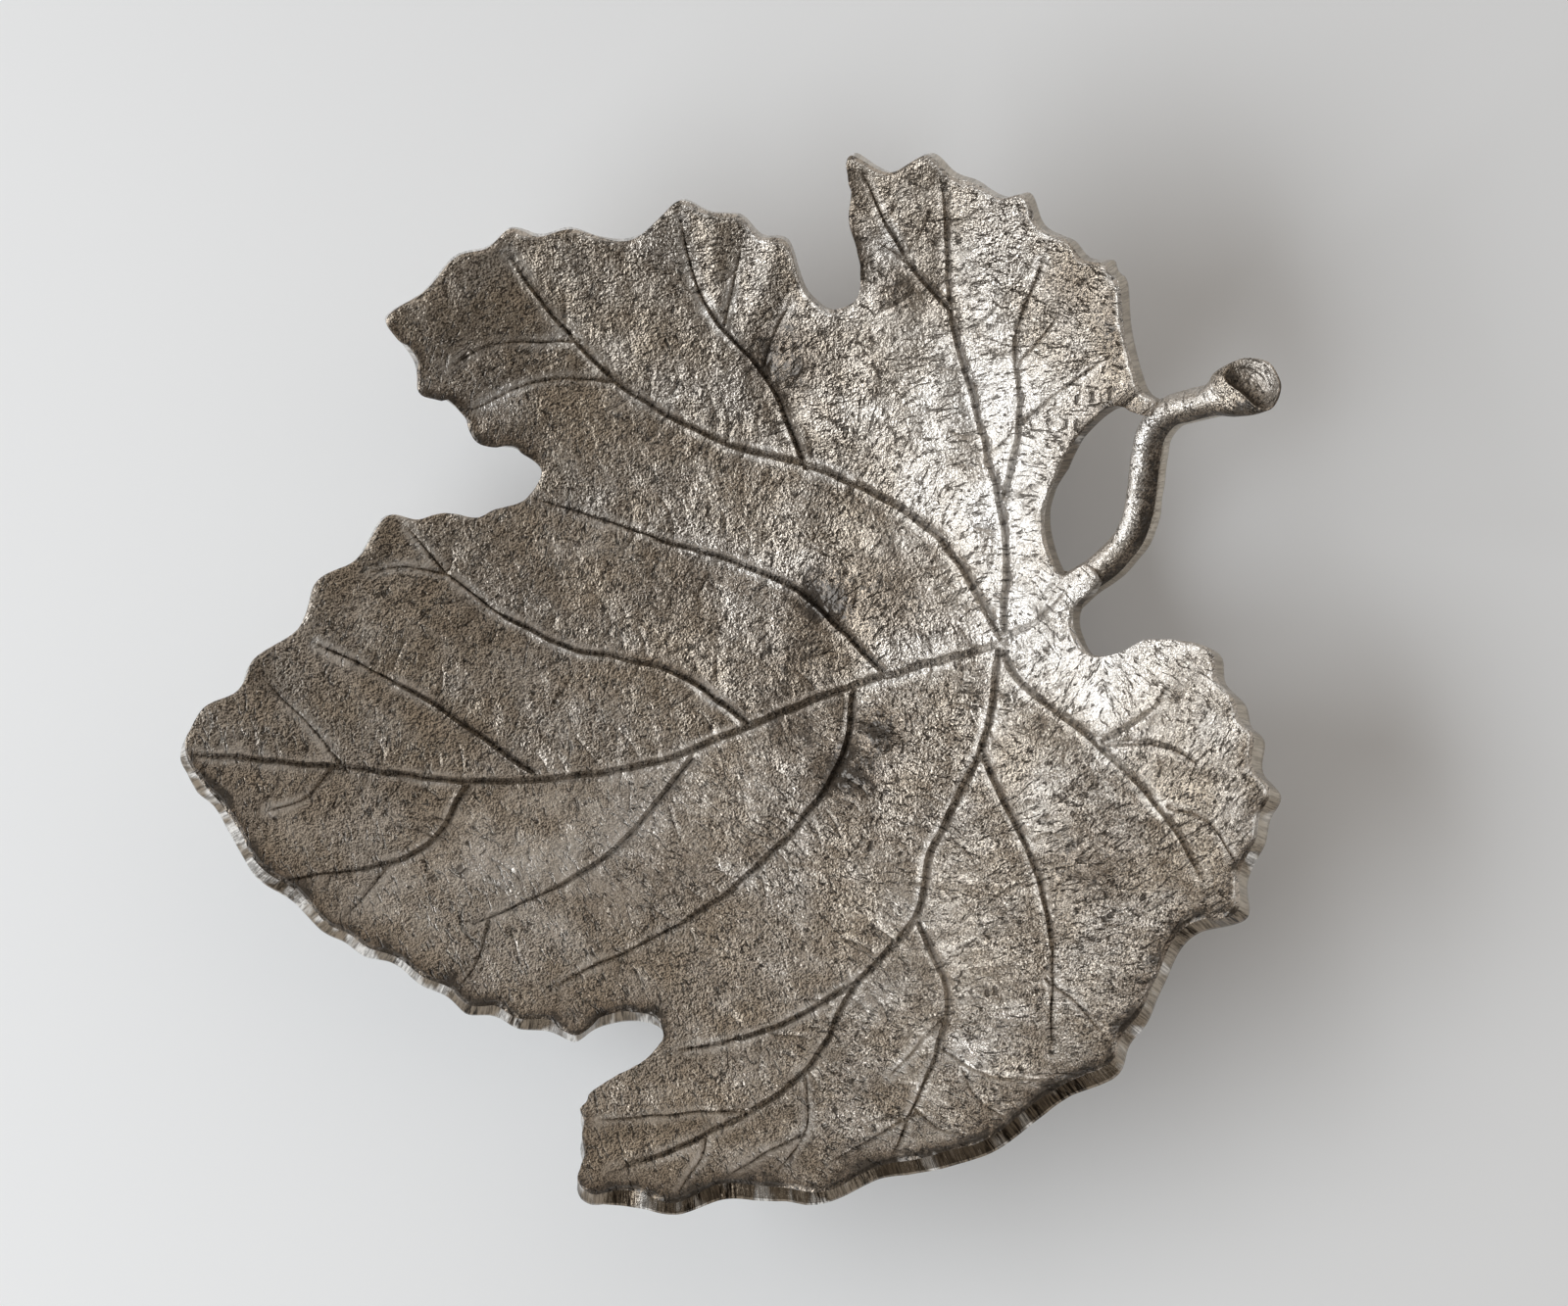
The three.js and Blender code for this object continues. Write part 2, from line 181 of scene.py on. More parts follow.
# %% Lamps and world
KEY_DIRECTION = Vector((-0.735, -0.19, 0.65)).normalized()
KEY_DISTANCE = 1.5
KEY_SIZE = (1.8, 0.85)
KEY_ENERGY = 22
TO_THE_BACK = (0.3, 0.85, 0.2)
DIM_LEVEL = 0.19
BACK_LEVEL = 0.52

bpy.ops.object.light_add(type="AREA", location=KEY_DIRECTION * KEY_DISTANCE)
key = bpy.context.object
key.name = "key_lamp"
key.data.shape = "RECTANGLE"
key.data.size, key.data.size_y = KEY_SIZE
key.data.energy = KEY_ENERGY
key.data.color = (0.95, 0.98, 1.0)
key.rotation_euler = KEY_DIRECTION.to_track_quat("Z", "Y").to_euler()

world = bpy.data.worlds.new("dim_room")
world.use_nodes = True
bpy.context.scene.world = world
room = world.node_tree.nodes["Background"]
room.inputs["Color"].default_value = (1.0, 0.91, 0.81, 1)
sky = add_node(world.node_tree, "ShaderNodeTexCoord", {}, "Generated")
backward = add_node(sky.tree, "ShaderNodeVectorMath", {0: sky, 1: TO_THE_BACK}, "Value",
                    operation="DOT_PRODUCT")
backward.ramp(0.08, 0.62, DIM_LEVEL, BACK_LEVEL).into(room, "Strength")
print("Key lamp at", [round(c, 2) for c in key.location])

# %% Floor
FLOOR_TONES = (0.765, 0.78, 0.8), (0.805, 0.82, 0.84)
FLOOR_GLOW = 0.09

bpy.ops.mesh.primitive_plane_add(size=6)
floor = bpy.context.object
floor.name = "floor"
floor_paper, tree, shader = new_material("pale_paper")
tone = colour_between(noise_of(object_coordinates(tree), 3.0), *FLOOR_TONES)
tone.into(shader, "Base Color")
tone.into(shader, "Emission Color")
shader.inputs["Roughness"].default_value = 0.9
from_camera = add_node(tree, "ShaderNodeLightPath", {}, "Is Camera Ray")
mirrored = add_node(tree, "ShaderNodeLightPath", {}, "Is Glossy Ray")
(from_camera.most(mirrored) * FLOOR_GLOW).into(shader, "Emission Strength")
floor.data.materials.append(floor_paper)
print("Floor", floor.dimensions[:2])

# %% [markdown]
# ## The drawing
# The leaf is drawn from above in millimetres, as in the CAD source: the margin with its scallops, five
# main ribs and the side veins. The fine twigs at the ends of the veins are drawn here only. Each list
# holds just the points that its curve needs, and a smooth curve is passed through them.

# %% Drawing of the leaf
LEAF_MIDDLE = np.array((0.9, -0.5))
MARGIN = [
    ("smooth", [(75.5, 23.5), (72, 30), (71.5, 38), (75, 46.5), (80.5, 54), (86.5, 58.5), (91, 58)]),
    ("smooth", [(96.5, 56), (97.5, 59.5), (94.5, 62)]),
    ("teeth", [(93, 65.5, 0.03), (89.5, 85.5, 0.1), (87, 89.5, 0.18), (78.5, 95, 0.16), (69, 105, 0.13),
               (59, 108, 0.08), (47.5, 115, 0.2), (30, 116, 0), (29, 115, 0.03), (28.5, 101.5, 0.03),
               (30.5, 89, 0)]),
    ("smooth", [(29, 86), (23.5, 84.5), (18.5, 88)]),
    ("teeth", [(14, 99, 0.15), (4, 104.5, 0.06), (-9.5, 108, 0.2), (-35, 102, 0.1), (-48, 102, 0.08),
               (-60, 95.5, 0.04), (-76, 81.5, 0), (-73.5, 77, 0.1), (-70, 66, 0.12), (-61, 60.5, 0.06)]),
    ("smooth", [(-58, 55.5), (-49.5, 54), (-44, 50), (-48, 44), (-55.5, 40.5), (-58.5, 39)]),
    ("teeth", [(-65.5, 40, 0.1), (-78, 39, 0.1), (-93, 23.5, 0.13), (-106.5, 5, 0.15), (-116, -6.5, 0),
               (-120.5, -17, 0.02), (-103.5, -43, 0.06), (-89, -55.5, 0.04), (-80.5, -60.5, 0.08),
               (-68.5, -67, 0.06), (-58, -73.5, 0.1), (-47, -76.5, 0.08), (-34, -79.5, 0)]),
    ("smooth", [(-29.5, -76.5), (-22.5, -74.5), (-17, -75.5), (-15, -80), (-18.5, -85), (-23.5, -88)]),
    ("teeth", [(-30, -92.5, 0.1), (-32, -96, 0.06), (-31.5, -102.5, 0.08), (-31, -111.5, 0),
               (-28, -114.5, 0.05), (-9.5, -117, 0.1), (13, -114, 0), (23.5, -114.5, 0.06), (50, -106, 0),
               (59.5, -103, 0.04), (86.5, -86, 0.08), (93, -75.5, 0.05)]),
    ("smooth", [(100, -59.5), (103.5, -56.5)]),
    ("teeth", [(114, -53.5, 0.1), (118.5, -38, 0.06), (121.5, -27.5, 0.16), (118, -15, 0.12),
               (114, -7, 0.1), (108.5, 4.5, 0), (95, 8, 0)]),
    ("smooth", [(88, 5.5), (81.5, 5.5), (78, 10.5), (78, 15.5), (82, 19.5), (84, 22), (81.5, 25.5)]),
]
RIBS = [
    [(61.5, 11.5), (62.5, 32.5), (57, 59), (51.5, 83), (51, 109.5)],
    [(61, 10.5), (46, 34.5), (22.5, 49), (-5.5, 58), (-27.5, 71), (-39.5, 83.5), (-48.5, 97)],
    [(60.5, 9), (25.5, 0.5), (-5, -11), (-19, -16.5), (-56.5, -21.5), (-90, -18.5), (-118.5, -17)],
    [(60.5, 8.5), (57, -13), (45, -38), (41.5, -53), (28, -69), (18, -87.5), (-5, -102.5), (-24, -110)],
    [(61, 8.5), (64.5, 1.5), (83.5, -15), (98.5, -31.5), (107, -46.5)],
]
SIDE_VEINS = [
    [(62.5, 42.5), (66.5, 58.5), (66, 76), (73, 91.5)],
    [(51.5, 83), (42.5, 93), (32.5, 112.5)],
    [(16, 50.5), (8, 70.5), (-5.5, 87), (-9.5, 104)],
    [(34.5, 2.5), (12.5, 23.5), (-18.5, 35), (-46, 44)],
    [(2, -7.5), (-15.5, 4.5), (-42, 11), (-65, 25.5), (-73.5, 36)],
    [(-46.5, -19.5), (-72.5, -1.5), (-93, 9)],
    [(-61, -22), (-70.5, -37.5), (-97.5, -45)],
    [(-11, -15.5), (-31, -39.5), (-58, -54.5)],
    [(26.5, 0), (23.5, -17.5), (-2.5, -47.5), (-40.5, -69)],
    [(28.5, -68), (7, -79), (-11, -83)],
    [(41.5, -52.5), (49.5, -73), (38.5, -106.5)],
    [(56.5, -15.5), (72, -52.5), (73.5, -84)],
    [(84, -14.5), (95.5, -7.5), (99.5, -2.5)],
    [(84, -14.5), (99, -16), (105.5, -20)],
    [(61.5, 10.5), (70, 14), (76.5, 20)],
]
TWIGS = [
    [(-54.5, -53.5), (-57.5, -64.5), (-60, -68)],
    [(-65.5, 26), (-75.5, 27.5), (-82, 26)],
    [(-87, -19.5), (-95.5, -9), (-104.5, 0.5)],
    [(-90, -19), (-96, -26.5), (-102.5, -29)],
    [(-76.5, -40), (-80, -46), (-86, -54)],
    [(-34.5, 79), (-54, 77.5), (-64, 72)],
    [(-27.5, 70.5), (-44, 70), (-59.5, 63)],
    [(-1, 81.5), (0.5, 87.5), (4, 98.5)],
    [(7.5, 72), (9, 78), (14, 86)],
    [(65.5, 70), (68.5, 72.5), (75.5, 79)],
    [(66.5, 57.5), (76.5, 64.5), (85, 69)],
    [(42.5, 93), (39.5, 95.5), (35.5, 98)],
    [(6, -96.5), (-8, -97), (-27.5, -98.5)],
    [(18, -88), (18.5, -101), (12.5, -110.5)],
    [(18.5, -101.5), (9.5, -106), (2.5, -110.5)],
    [(-3.5, -102), (-4.5, -107.5), (-8.5, -114)],
    [(49, -76), (44.5, -80.5), (37, -89)],
    [(48.5, -82.5), (58.5, -88.5), (72, -89.5)],
    [(54, -88), (56, -92.5), (63.5, -98)],
    [(43.5, -96), (48.5, -100), (54.5, -101.5)],
    [(43.5, -97), (35.5, -101.5), (24.5, -107.5)],
    [(72, -67.5), (78.5, -72.5), (84.5, -79)],
    [(99, -29.5), (107.5, -33), (114.5, -43)],
]
STALK_ROUTE = [(78, 21.5), (83, 24.5), (88, 28.5), (91.5, 34), (93, 41), (94, 48), (95.5, 53.5),
               (99, 57), (104.5, 58), (111.5, 59), (118, 60)]
print("Veins drawn:", len(RIBS), "ribs,", len(SIDE_VEINS), "side veins,", len(TWIGS), "twigs")

# %% [markdown]
# ## Curves
# A drawn line gets its shape from a Catmull-Rom curve, which passes through every drawn point and doesn't
# overshoot. It is cut into even steps, so that the mesh along it is even too.


# %% Curves through drawn points
def smooth_curve(points, per_span, closed=False):
    """Points on a centripetal Catmull-Rom curve, per_span of them in each span of the drawn points."""
    drawn = np.array(points, float)
    if closed:
        drawn = np.vstack([drawn[-1:], drawn, drawn[:2]])
    else:
        drawn = np.vstack([2 * drawn[0] - drawn[1], drawn, 2 * drawn[-1] - drawn[-2]])
    share = np.linspace(0, 1, per_span, endpoint=False)[:, None]
    spans = []
    for before, start, end, after in zip(drawn, drawn[1:], drawn[2:], drawn[3:]):
        first, middle, last = (math.sqrt(np.linalg.norm(b - a)) for a, b in
                               ((before, start), (start, end), (end, after)))
        leave = (start - before) / first - (end - before) / (first + middle) + (end - start) / middle
        arrive = (end - start) / middle - (after - start) / (middle + last) + (after - end) / last
        leave, arrive = leave * middle, arrive * middle
        bend = 2 * start - 2 * end + leave + arrive
        sweep = -3 * start + 3 * end - 2 * leave - arrive
        spans.append(((bend * share + sweep) * share + leave) * share + start)
    curve = np.vstack(spans)
    return curve if closed else np.vstack([curve, drawn[-2]])


def even_line(points, step, closed=False):
    """The smooth curve through drawn points, cut into even steps of about the given length."""
    curve = smooth_curve(np.array(points, float)[:, :2] - LEAF_MIDDLE, 24, closed)
    if closed:
        curve = np.vstack([curve, curve[:1]])
    run = np.concatenate([[0], np.cumsum(np.linalg.norm(np.diff(curve, axis=0), axis=1))])
    count = max(3, round(run[-1] / step))
    places = np.linspace(0, run[-1], count + 1)
    line = np.stack([np.interp(places, run, curve[:, axis]) for axis in (0, 1)], axis=1)
    return line[:-1] if closed else line


def margin_corners():
    corners = []
    for kind, stretch in MARGIN:
        for here, after in zip(stretch, stretch[1:] + [None]):
            corners.append(here[:2])
            if kind == "smooth" or after is None or here[2] == 0:
                continue
            x, y, dip = here
            middle_x, middle_y = (x + after[0]) / 2, (y + after[1]) / 2
            corners.append((middle_x - (after[1] - y) * dip, middle_y + (after[0] - x) * dip))
    return corners


EDGE_STEP = 0.9
margin = even_line(margin_corners(), EDGE_STEP, closed=True)
print("Margin:", len(margin), "points,", round(len(margin) * EDGE_STEP), "mm round")

# %% [markdown]
# ## The dished surface
# The dish is a shallow paraboloid that sinks a little along the five ribs, with the same numbers as the
# solid. Everything on the leaf is placed by its distance from the middle of the wall along this surface.

# %% Dished surface
WALL = 5.5
DISH_CENTRE = np.array((2.0, 1.5))
DISH_CURVE = 44 / 125**2
DISH_FLOOR = 10.1
FOLD_DEPTH = 1.6
FOLD_WIDTH = 13


def nearest_on_line(places, line):
    """Distance of each place from a line of points, and the share of the line's length that is before it."""
    steps = line[1:] - line[:-1]
    offset = places[:, None] - line[:-1]
    share = np.clip((offset * steps).sum(2) / (steps**2).sum(1), 0, 1)
    gaps = np.linalg.norm(offset - share[..., None] * steps, axis=2)
    best = gaps.argmin(1)
    rows = np.arange(len(places))
    return gaps[rows, best], (best + share[rows, best]) / len(steps)


rib_lines = [even_line(route, 5) for route in RIBS]


def unit(vectors):
    return vectors / np.linalg.norm(vectors, axis=1, keepdims=True)


def bell(distance, width):
    """1 at no distance, and a soft fall to 0 over about twice the width."""
    return np.exp(-((distance / width) ** 2))


def dish_height(places):
    away = np.min([nearest_on_line(places, line)[0] for line in rib_lines], axis=0)
    bowl = DISH_CURVE * ((places - DISH_CENTRE) ** 2).sum(1)
    return DISH_FLOOR + bowl + FOLD_DEPTH * (1 - bell(away, FOLD_WIDTH))


def dish_normal(places):
    slope = -2 * DISH_CURVE * (places - DISH_CENTRE)
    return unit(np.column_stack([slope, np.ones(len(places))]))


print("Lowest part of the dish at", round(float(dish_height(DISH_CENTRE[None])[0]), 2), "mm")

# %% [markdown]
# ## The blade's upper face
# By hand this would be a grid, cut to the outline and sculpted. A grid's lines cross the veins though,
# and saw their narrow grooves to pieces. So points are laid in rows along each vein, more are strewn
# between them, and a Delaunay triangulation joins them inside the margin. The grooves then stay crisp.

# %% Rows of points along the veins
RIB = {"half_width": 0.66, "depth": 1.1, "first_dark": 0.7, "last_dark": 0.95}
SIDE = {"half_width": 0.55, "depth": 0.95, "first_dark": 0.92, "last_dark": 0.82}
TWIG = {"half_width": 0.42, "depth": 0.6, "first_dark": 0.85, "last_dark": 0.75}
CREASE = {"half_width": 0.42, "depth": 0.34, "first_dark": 1.0, "last_dark": 0.8}
VEIN_TAPER = 0.4
ROWS_ACROSS = (0, 0.6, -0.6, 1.0, -1.0, 1.6, -1.6, 2.5, -2.5)
noise.seed_set(5)  # noise vectors would differ from run to run without a seed


def wandering(line):
    """A vein's line, which wanders a little to either side as a grown vein does."""
    return line + np.array([0.45 * noise.noise_vector((x / 6, y / 6, 2.0)).xy for x, y in line.tolist()])


veins = [(wandering(even_line(route, 0.9)), size)
         for routes, size in ((RIBS, RIB), (SIDE_VEINS, SIDE), (TWIGS, TWIG)) for route in routes]
print("Veins:", len(veins))

# %% [markdown]
# ## Short creases
# Here and there the skin of a leaf folds into short creases that start beside a vein and lean towards its
# tip. A sculptor would draw them with a crease brush. Here a seeded chooser places them, so that every run
# of the script gives the same ones.

# %% Short creases beside the veins
CREASE_STEP = 3.6
CREASE_CLEAR = 3.0
CREASE_GAP = 3.6
crease_chooser = np.random.default_rng(5)


def crease_beside(line, index):
    """A short crease that runs away from a vein and bends to its tip, or None near the margin."""
    along = line[min(index + 1, len(line) - 1)] - line[index - 1]
    side = crease_chooser.choice((-1, 1))
    slant = -side * crease_chooser.normal(0.4, 0.15)
    start, length = crease_chooser.uniform(0.4, 5.0), crease_chooser.uniform(3.0, 9.0)
    bend = side * crease_chooser.normal(0.08, 0.05) * length
    way = np.array((-along[1], along[0])) * side / np.linalg.norm(along)
    way = np.array((way[0] * math.cos(slant) - way[1] * math.sin(slant),
                    way[0] * math.sin(slant) + way[1] * math.cos(slant)))
    beside = np.array((-way[1], way[0]))
    first = line[index] + way * start
    steps = np.linspace(0, 1, max(4, round(length / 0.8)))[:, None]
    crease = first + way * length * steps + beside * bend * 4 * steps * (1 - steps)
    walked = np.vstack([line[index] + way * start * steps, crease])
    return crease if nearest_on_line(walked, margin)[0].min() > CREASE_CLEAR else None


creases = []


def keeps_apart(crease):
    middle = crease[len(crease) // 2]
    return all(np.linalg.norm(other[len(other) // 2] - middle) >= CREASE_GAP for other, _ in creases)


for line, size in veins[: len(RIBS) + len(SIDE_VEINS)]:
    index = 6
    while index < len(line) - 8:
        crease = crease_beside(line, index)
        crowded = noise.noise((*line[index] / 22, 4.0)) > 0.12
        if crease is not None and not crowded and keeps_apart(crease):
            creases.append((wandering(crease), CREASE))
        index += round(CREASE_STEP * crease_chooser.uniform(0.4, 1.6) / 0.9)
print("Creases:", len(creases))

# %% [markdown]
# ## Shape of the edge
# The edge isn't one clean curve. It is chipped along the top, was ground in short straight runs, and slopes
# on the near side. These are worked out for each point of the margin, before any face is made.

# %% Edge profile of the blade
# Each row of the rim: its inset from the margin and its depth below the upper face, in millimetres.
RIM_ROWS = [(0.5, -0.05), (0.15, 0.05), (0.0, 0.4), (0.0, 1.6), (0.0, 2.8), (0.0, 4.0), (0.25, 5.0),
            (0.8, 5.5)]

margin_along = np.roll(margin, -1, axis=0) - np.roll(margin, 1, axis=0)
margin_out = unit(np.column_stack([margin_along[:, 1], -margin_along[:, 0]]))
margin_run = np.arange(len(margin)) * EDGE_STEP


def ripple(run, length, seed):
    """A smooth uneven wave along the rim, from -1 to 1, with bumps about this long."""
    turn = 2 * math.pi * run / (len(margin) * EDGE_STEP)
    radius = len(margin) * EDGE_STEP / (2 * math.pi * length)
    return np.array([noise.noise((radius * math.cos(a), radius * math.sin(a), seed)) for a in turn])


def smoothstep(low, high, value):
    share = np.clip((value - low) / (high - low), 0, 1)
    return share * share * (3 - 2 * share)


chooser = np.random.default_rng(11)


def facet_wave(length, spread):
    """Straight runs between uneven places round the rim, as a grinding wheel leaves them."""
    around = len(margin) * EDGE_STEP
    breaks = [0.0]
    while breaks[-1] < around - 1.6 * length:
        breaks.append(breaks[-1] + length * chooser.uniform(0.5, 1.5))
    values = chooser.uniform(-spread, spread, len(breaks))
    return np.interp(margin_run, [*breaks, around], [*values, values[0]])


chipping = ripple(margin_run, 3.0, 3.0) + 0.35 * ripple(margin_run, 1.3, 8.0)
broken_edge = 0.4 * np.clip(chipping, -0.4, 1.0) + 0.16
top_facets = facet_wave(7.0, 0.35)
low_facets = facet_wave(8.0, 0.75)
lower_right = margin_out @ np.array((0.8, -0.6))
right_side = smoothstep(0.35, 0.85, margin_out @ np.array((0.85, 0.53)))
BURR = 0.3
draft = 0.12 * (1 - margin_out @ np.array((0.45, -0.9)))

# The near side was ground to a slope. Tight outward corners keep less of it, so that the edge stays clean.
CHAMFER = 1.05
CHAMFER_DEPTH = 4.6
heading = np.unwrap(np.arctan2(margin_along[:, 1], margin_along[:, 0]))
turning = np.abs(np.roll(heading, -3) - np.roll(heading, 3))
turning = np.minimum(turning, np.abs(2 * math.pi - turning))
tightness = np.array([turning.take(range(i - 4, i + 5), mode="wrap").max() for i in range(len(margin))])
near_side = np.clip(margin_out @ np.array((-0.35, -0.94)), 0, 1) ** 0.7
chamfer = CHAMFER * near_side * (1 + facet_wave(9.0, 0.45)) * (1 - smoothstep(0.5, 1.3, tightness))
set_back = RIM_ROWS[0][0] + broken_edge + chamfer
upper_edge = margin - margin_out * set_back[:, None]
print("Upper edge steps back by", round(float(set_back.max()), 2), "mm at most")

# %% [markdown]
# ## Joining the points
# Rows of points go in first, along the edge and the veins, and an even field of points fills what is left.
# A point that is too near to an earlier one is dropped, so that no sliver is made.


# %% Rows of points beside a line
def rows_beside(line, half_width, shares):
    """Rows of points beside a line, at shares of its half width, which tapers towards the line's end."""
    along = np.gradient(line, axis=0)
    left = unit(np.column_stack([-along[:, 1], along[:, 0]]))
    taper = half_width * (1 - VEIN_TAPER * np.linspace(0, 1, len(line)))
    return np.vstack([line + left * (taper * share)[:, None] for share in shares])


def hexagon_field(spacing, reach):
    """Points at the corners of even triangles, over a square that reaches this far from the middle."""
    across = np.arange(-reach, reach, spacing)
    rows = np.arange(-reach, reach, spacing * math.sqrt(3) / 2)
    x, y = np.meshgrid(across, rows)
    x[1::2] += spacing / 2
    return np.column_stack([x.ravel(), y.ravel()])


class PointField:
    """Keeps points that are no nearer to each other than a gap, the first come first."""

    def __init__(self, cell):
        self.cell = cell
        self.kept = []
        self.cells = {}

    def add(self, points, gap):
        reach = math.ceil(gap / self.cell)
        around = [(i, j) for i in range(-reach, reach + 1) for j in range(-reach, reach + 1)]
        for x, y in points.tolist():
            column, row = math.floor(x / self.cell), math.floor(y / self.cell)
            near = (p for i, j in around for p in self.cells.get((column + i, row + j), ()))
            if any((x - a) ** 2 + (y - b) ** 2 < gap * gap for a, b in near):
                continue
            self.cells.setdefault((column, row), []).append((x, y))
            self.kept.append((x, y))


# %% Triangles of the upper face
GRID = 1.02
field = PointField(0.4)
field.add(upper_edge, 0)
for line, size in veins:
    field.add(rows_beside(line, size["half_width"], ROWS_ACROSS), 0.24)
for line, size in creases:
    field.add(rows_beside(line, size["half_width"], ROWS_ACROSS[:5]), 0.24)
field.add(hexagon_field(GRID, 126), 0.62)


def triangulate(points, border_count):
    """Delaunay triangles inside the border, which is the first points in order."""
    flat = [Vector(p) for p in points]
    found, _, faces, _, _, inside = delaunay_2d_cdt(flat, [], [list(range(border_count))], 0, 1e-5, True)
    faces = [face for face, outline in zip(faces, inside) if outline]
    used = sorted({corner for face in faces for corner in face})
    place = {old: new for new, old in enumerate(used)}
    return np.array([found[old][:] for old in used]), [[place[c] for c in face] for face in faces]


upper_places, upper_faces = triangulate(field.kept, len(margin))
print("Upper face:", len(upper_places), "points,", len(upper_faces), "triangles")

# %% [markdown]
# ## Relief of the upper face
# The leaf's panels puff up between the veins, and each vein is a round-bottomed groove with soft lips.
# Low lumps keep the panels from looking machined. Beside the stalk the blade rises to meet it.

# %% Relief
PUFF = 1.15
PUFF_WIDTH = 5.0
STALK_SWELL = 2.4
SWELL_WIDTH = 3.6
VEIN_HALO_SHADE = 0.48
HALO_WIDTH = 2.8
LIP_SHARE = 0.42
LUMPS = [(0.6, 9, 1.0), (0.3, 4.2, 5.0), (0.12, 2.3, 7.0)]  # height, size and seed of each layer
stalk_line = even_line([(73, 17.5)] + STALK_ROUTE, 1.0)


def field_noise(places, size, seed):
    return np.array([noise.noise((x / size, y / size, seed)) for x, y in places.tolist()])


def vein_relief(places):
    """Each place's depth in a vein, height of lip, shade, band of wear and painted highlight beside veins,
    and distance from any.
    """
    deep = np.zeros(len(places))
    lip = np.zeros(len(places))
    shade = np.zeros(len(places))
    band = np.zeros(len(places))
    away = np.full(len(places), 20.0)
    for line, size in veins + creases:
        reach = 3 if size is CREASE else 14
        low, high = line.min(0) - reach, line.max(0) + reach
        near = np.flatnonzero(((places > low) & (places < high)).all(1))
        gap, share = nearest_on_line(places[near], line)
        taper = 1 - VEIN_TAPER * share
        fade = 1 - smoothstep(0.92, 1.0, share) * 0.7
        ragged = 1 + 0.35 * field_noise(places[near], 1.7, 9.0)
        across = gap / (size["half_width"] * taper) * ragged
        groove = 1 - smoothstep(0.25, 1.15, across)
        deep[near] = np.maximum(deep[near], groove * size["depth"] * taper * fade)
        dark = size["first_dark"] + (size["last_dark"] - size["first_dark"]) * share
        # Painted light: the dark fill of a vein is lighter towards the right, where the lamp's highlight
        # falls.
        dark = dark * (1 - 0.4 * smoothstep(20, 70, places[near, 0]))
        shade[near] = np.maximum(shade[near], (1 - smoothstep(0.1, 1.35, across)) * dark)
        if size is not CREASE:
            # A soft band of painted shade beside each vein, fainter towards the lit right side.
            halo_shade = VEIN_HALO_SHADE * (1 - 0.7 * smoothstep(20, 60, places[near, 0]))
            shade[near] = np.maximum(shade[near], halo_shade * bell(gap, HALO_WIDTH))
            # Beside each lip, a band of wear that also carries a painted highlight.
            band[near] = np.maximum(band[near], bell(gap - 2.0 * size["half_width"], 0.8))
            away[near] = np.minimum(away[near], gap)
        rise = bell(across - 1.7, 0.6) * size["depth"] * taper * LIP_SHARE
        lip[near] = np.maximum(lip[near], rise)
    return deep, lip * (1 - np.clip(deep / 0.4, 0, 1)), shade, band * (1 - np.clip(deep / 0.3, 0, 1)), away


def upper_height(places):
    deep, lip, shade, band, away = vein_relief(places)
    puff = PUFF * (1 - bell(away, PUFF_WIDTH)) - 0.6 * PUFF
    lumps = sum(height * field_noise(places, size, seed) for height, size, seed in LUMPS)
    swell = STALK_SWELL * bell(nearest_on_line(places, stalk_line)[0], SWELL_WIDTH)
    return dish_height(places) + puff + lumps + lip - deep + swell, shade, band


upper_z, upper_shade, upper_band = upper_height(upper_places)
upper_z[: len(margin)] += BURR * right_side
print("Deepest vein shade:", round(float(upper_shade.max()), 2))

# %% [markdown]
# ## Finish of the upper face
# The material needs to know where the finish stayed dark and where it was rubbed away, and where shade
# and highlights are painted on. By hand that would be weight painting. Here each point gets a few numbers,
# worked out from its place, which the material reads.


# %% Upper face as a mesh
def add_attribute(mesh, name, values, kind="FLOAT"):
    mesh.attributes.new(name, kind, "POINT").data.foreach_set("value", values)


# Darker soft spots, partly stains where the dark finish was left thicker, partly painted shade: x, y, radius
# and strength.
STAINS_AND_SHADE = [(19, 21, 8, 1.0), (24, -19, 9, 0.95), (32, -10, 7, 0.9), (10, 75, 11, 0.7), (39, 89, 9, 0.45),
          (78, 85, 8, 0.5), (-16, 24, 12, 0.45), (82, -41, 14, 0.5), (-17, -42, 12, 0.4), (-30, -49, 11, 0.4),
          (12, 8, 11, 0.5), (34, 22, 12, 0.5), (12, -5, 13, 0.52),
          (-62, 76, 22, 0.3), (-56, 20, 24, 0.3)]

bpy.ops.object.select_all(action="DESELECT")
leaf_mesh = bpy.data.meshes.new("leaf")
leaf_mesh.from_pydata((np.column_stack([upper_places, upper_z]) * MM).tolist(), [], upper_faces)
leaf = bpy.data.objects.new("leaf", leaf_mesh)
bpy.context.collection.objects.link(leaf)
bpy.context.view_layer.objects.active = leaf
leaf.select_set(True)

rim_place = np.full(len(upper_places), -1, np.int32)
rim_place[: len(margin)] = np.arange(len(margin))
add_attribute(leaf_mesh, "rim_place", rim_place, "INT")
add_attribute(leaf_mesh, "rim_row", np.zeros(len(upper_places), np.int32), "INT")
add_attribute(leaf_mesh, "vein", upper_shade)
edge_line = np.vstack([upper_edge, upper_edge[:1]])
nearest = [nearest_on_line(part, edge_line) for part in np.array_split(upper_places, 60)]
edge_gap = np.concatenate([gap for gap, _ in nearest])
edge_index = (np.concatenate([share for _, share in nearest]) * len(margin)).astype(int) % len(margin)
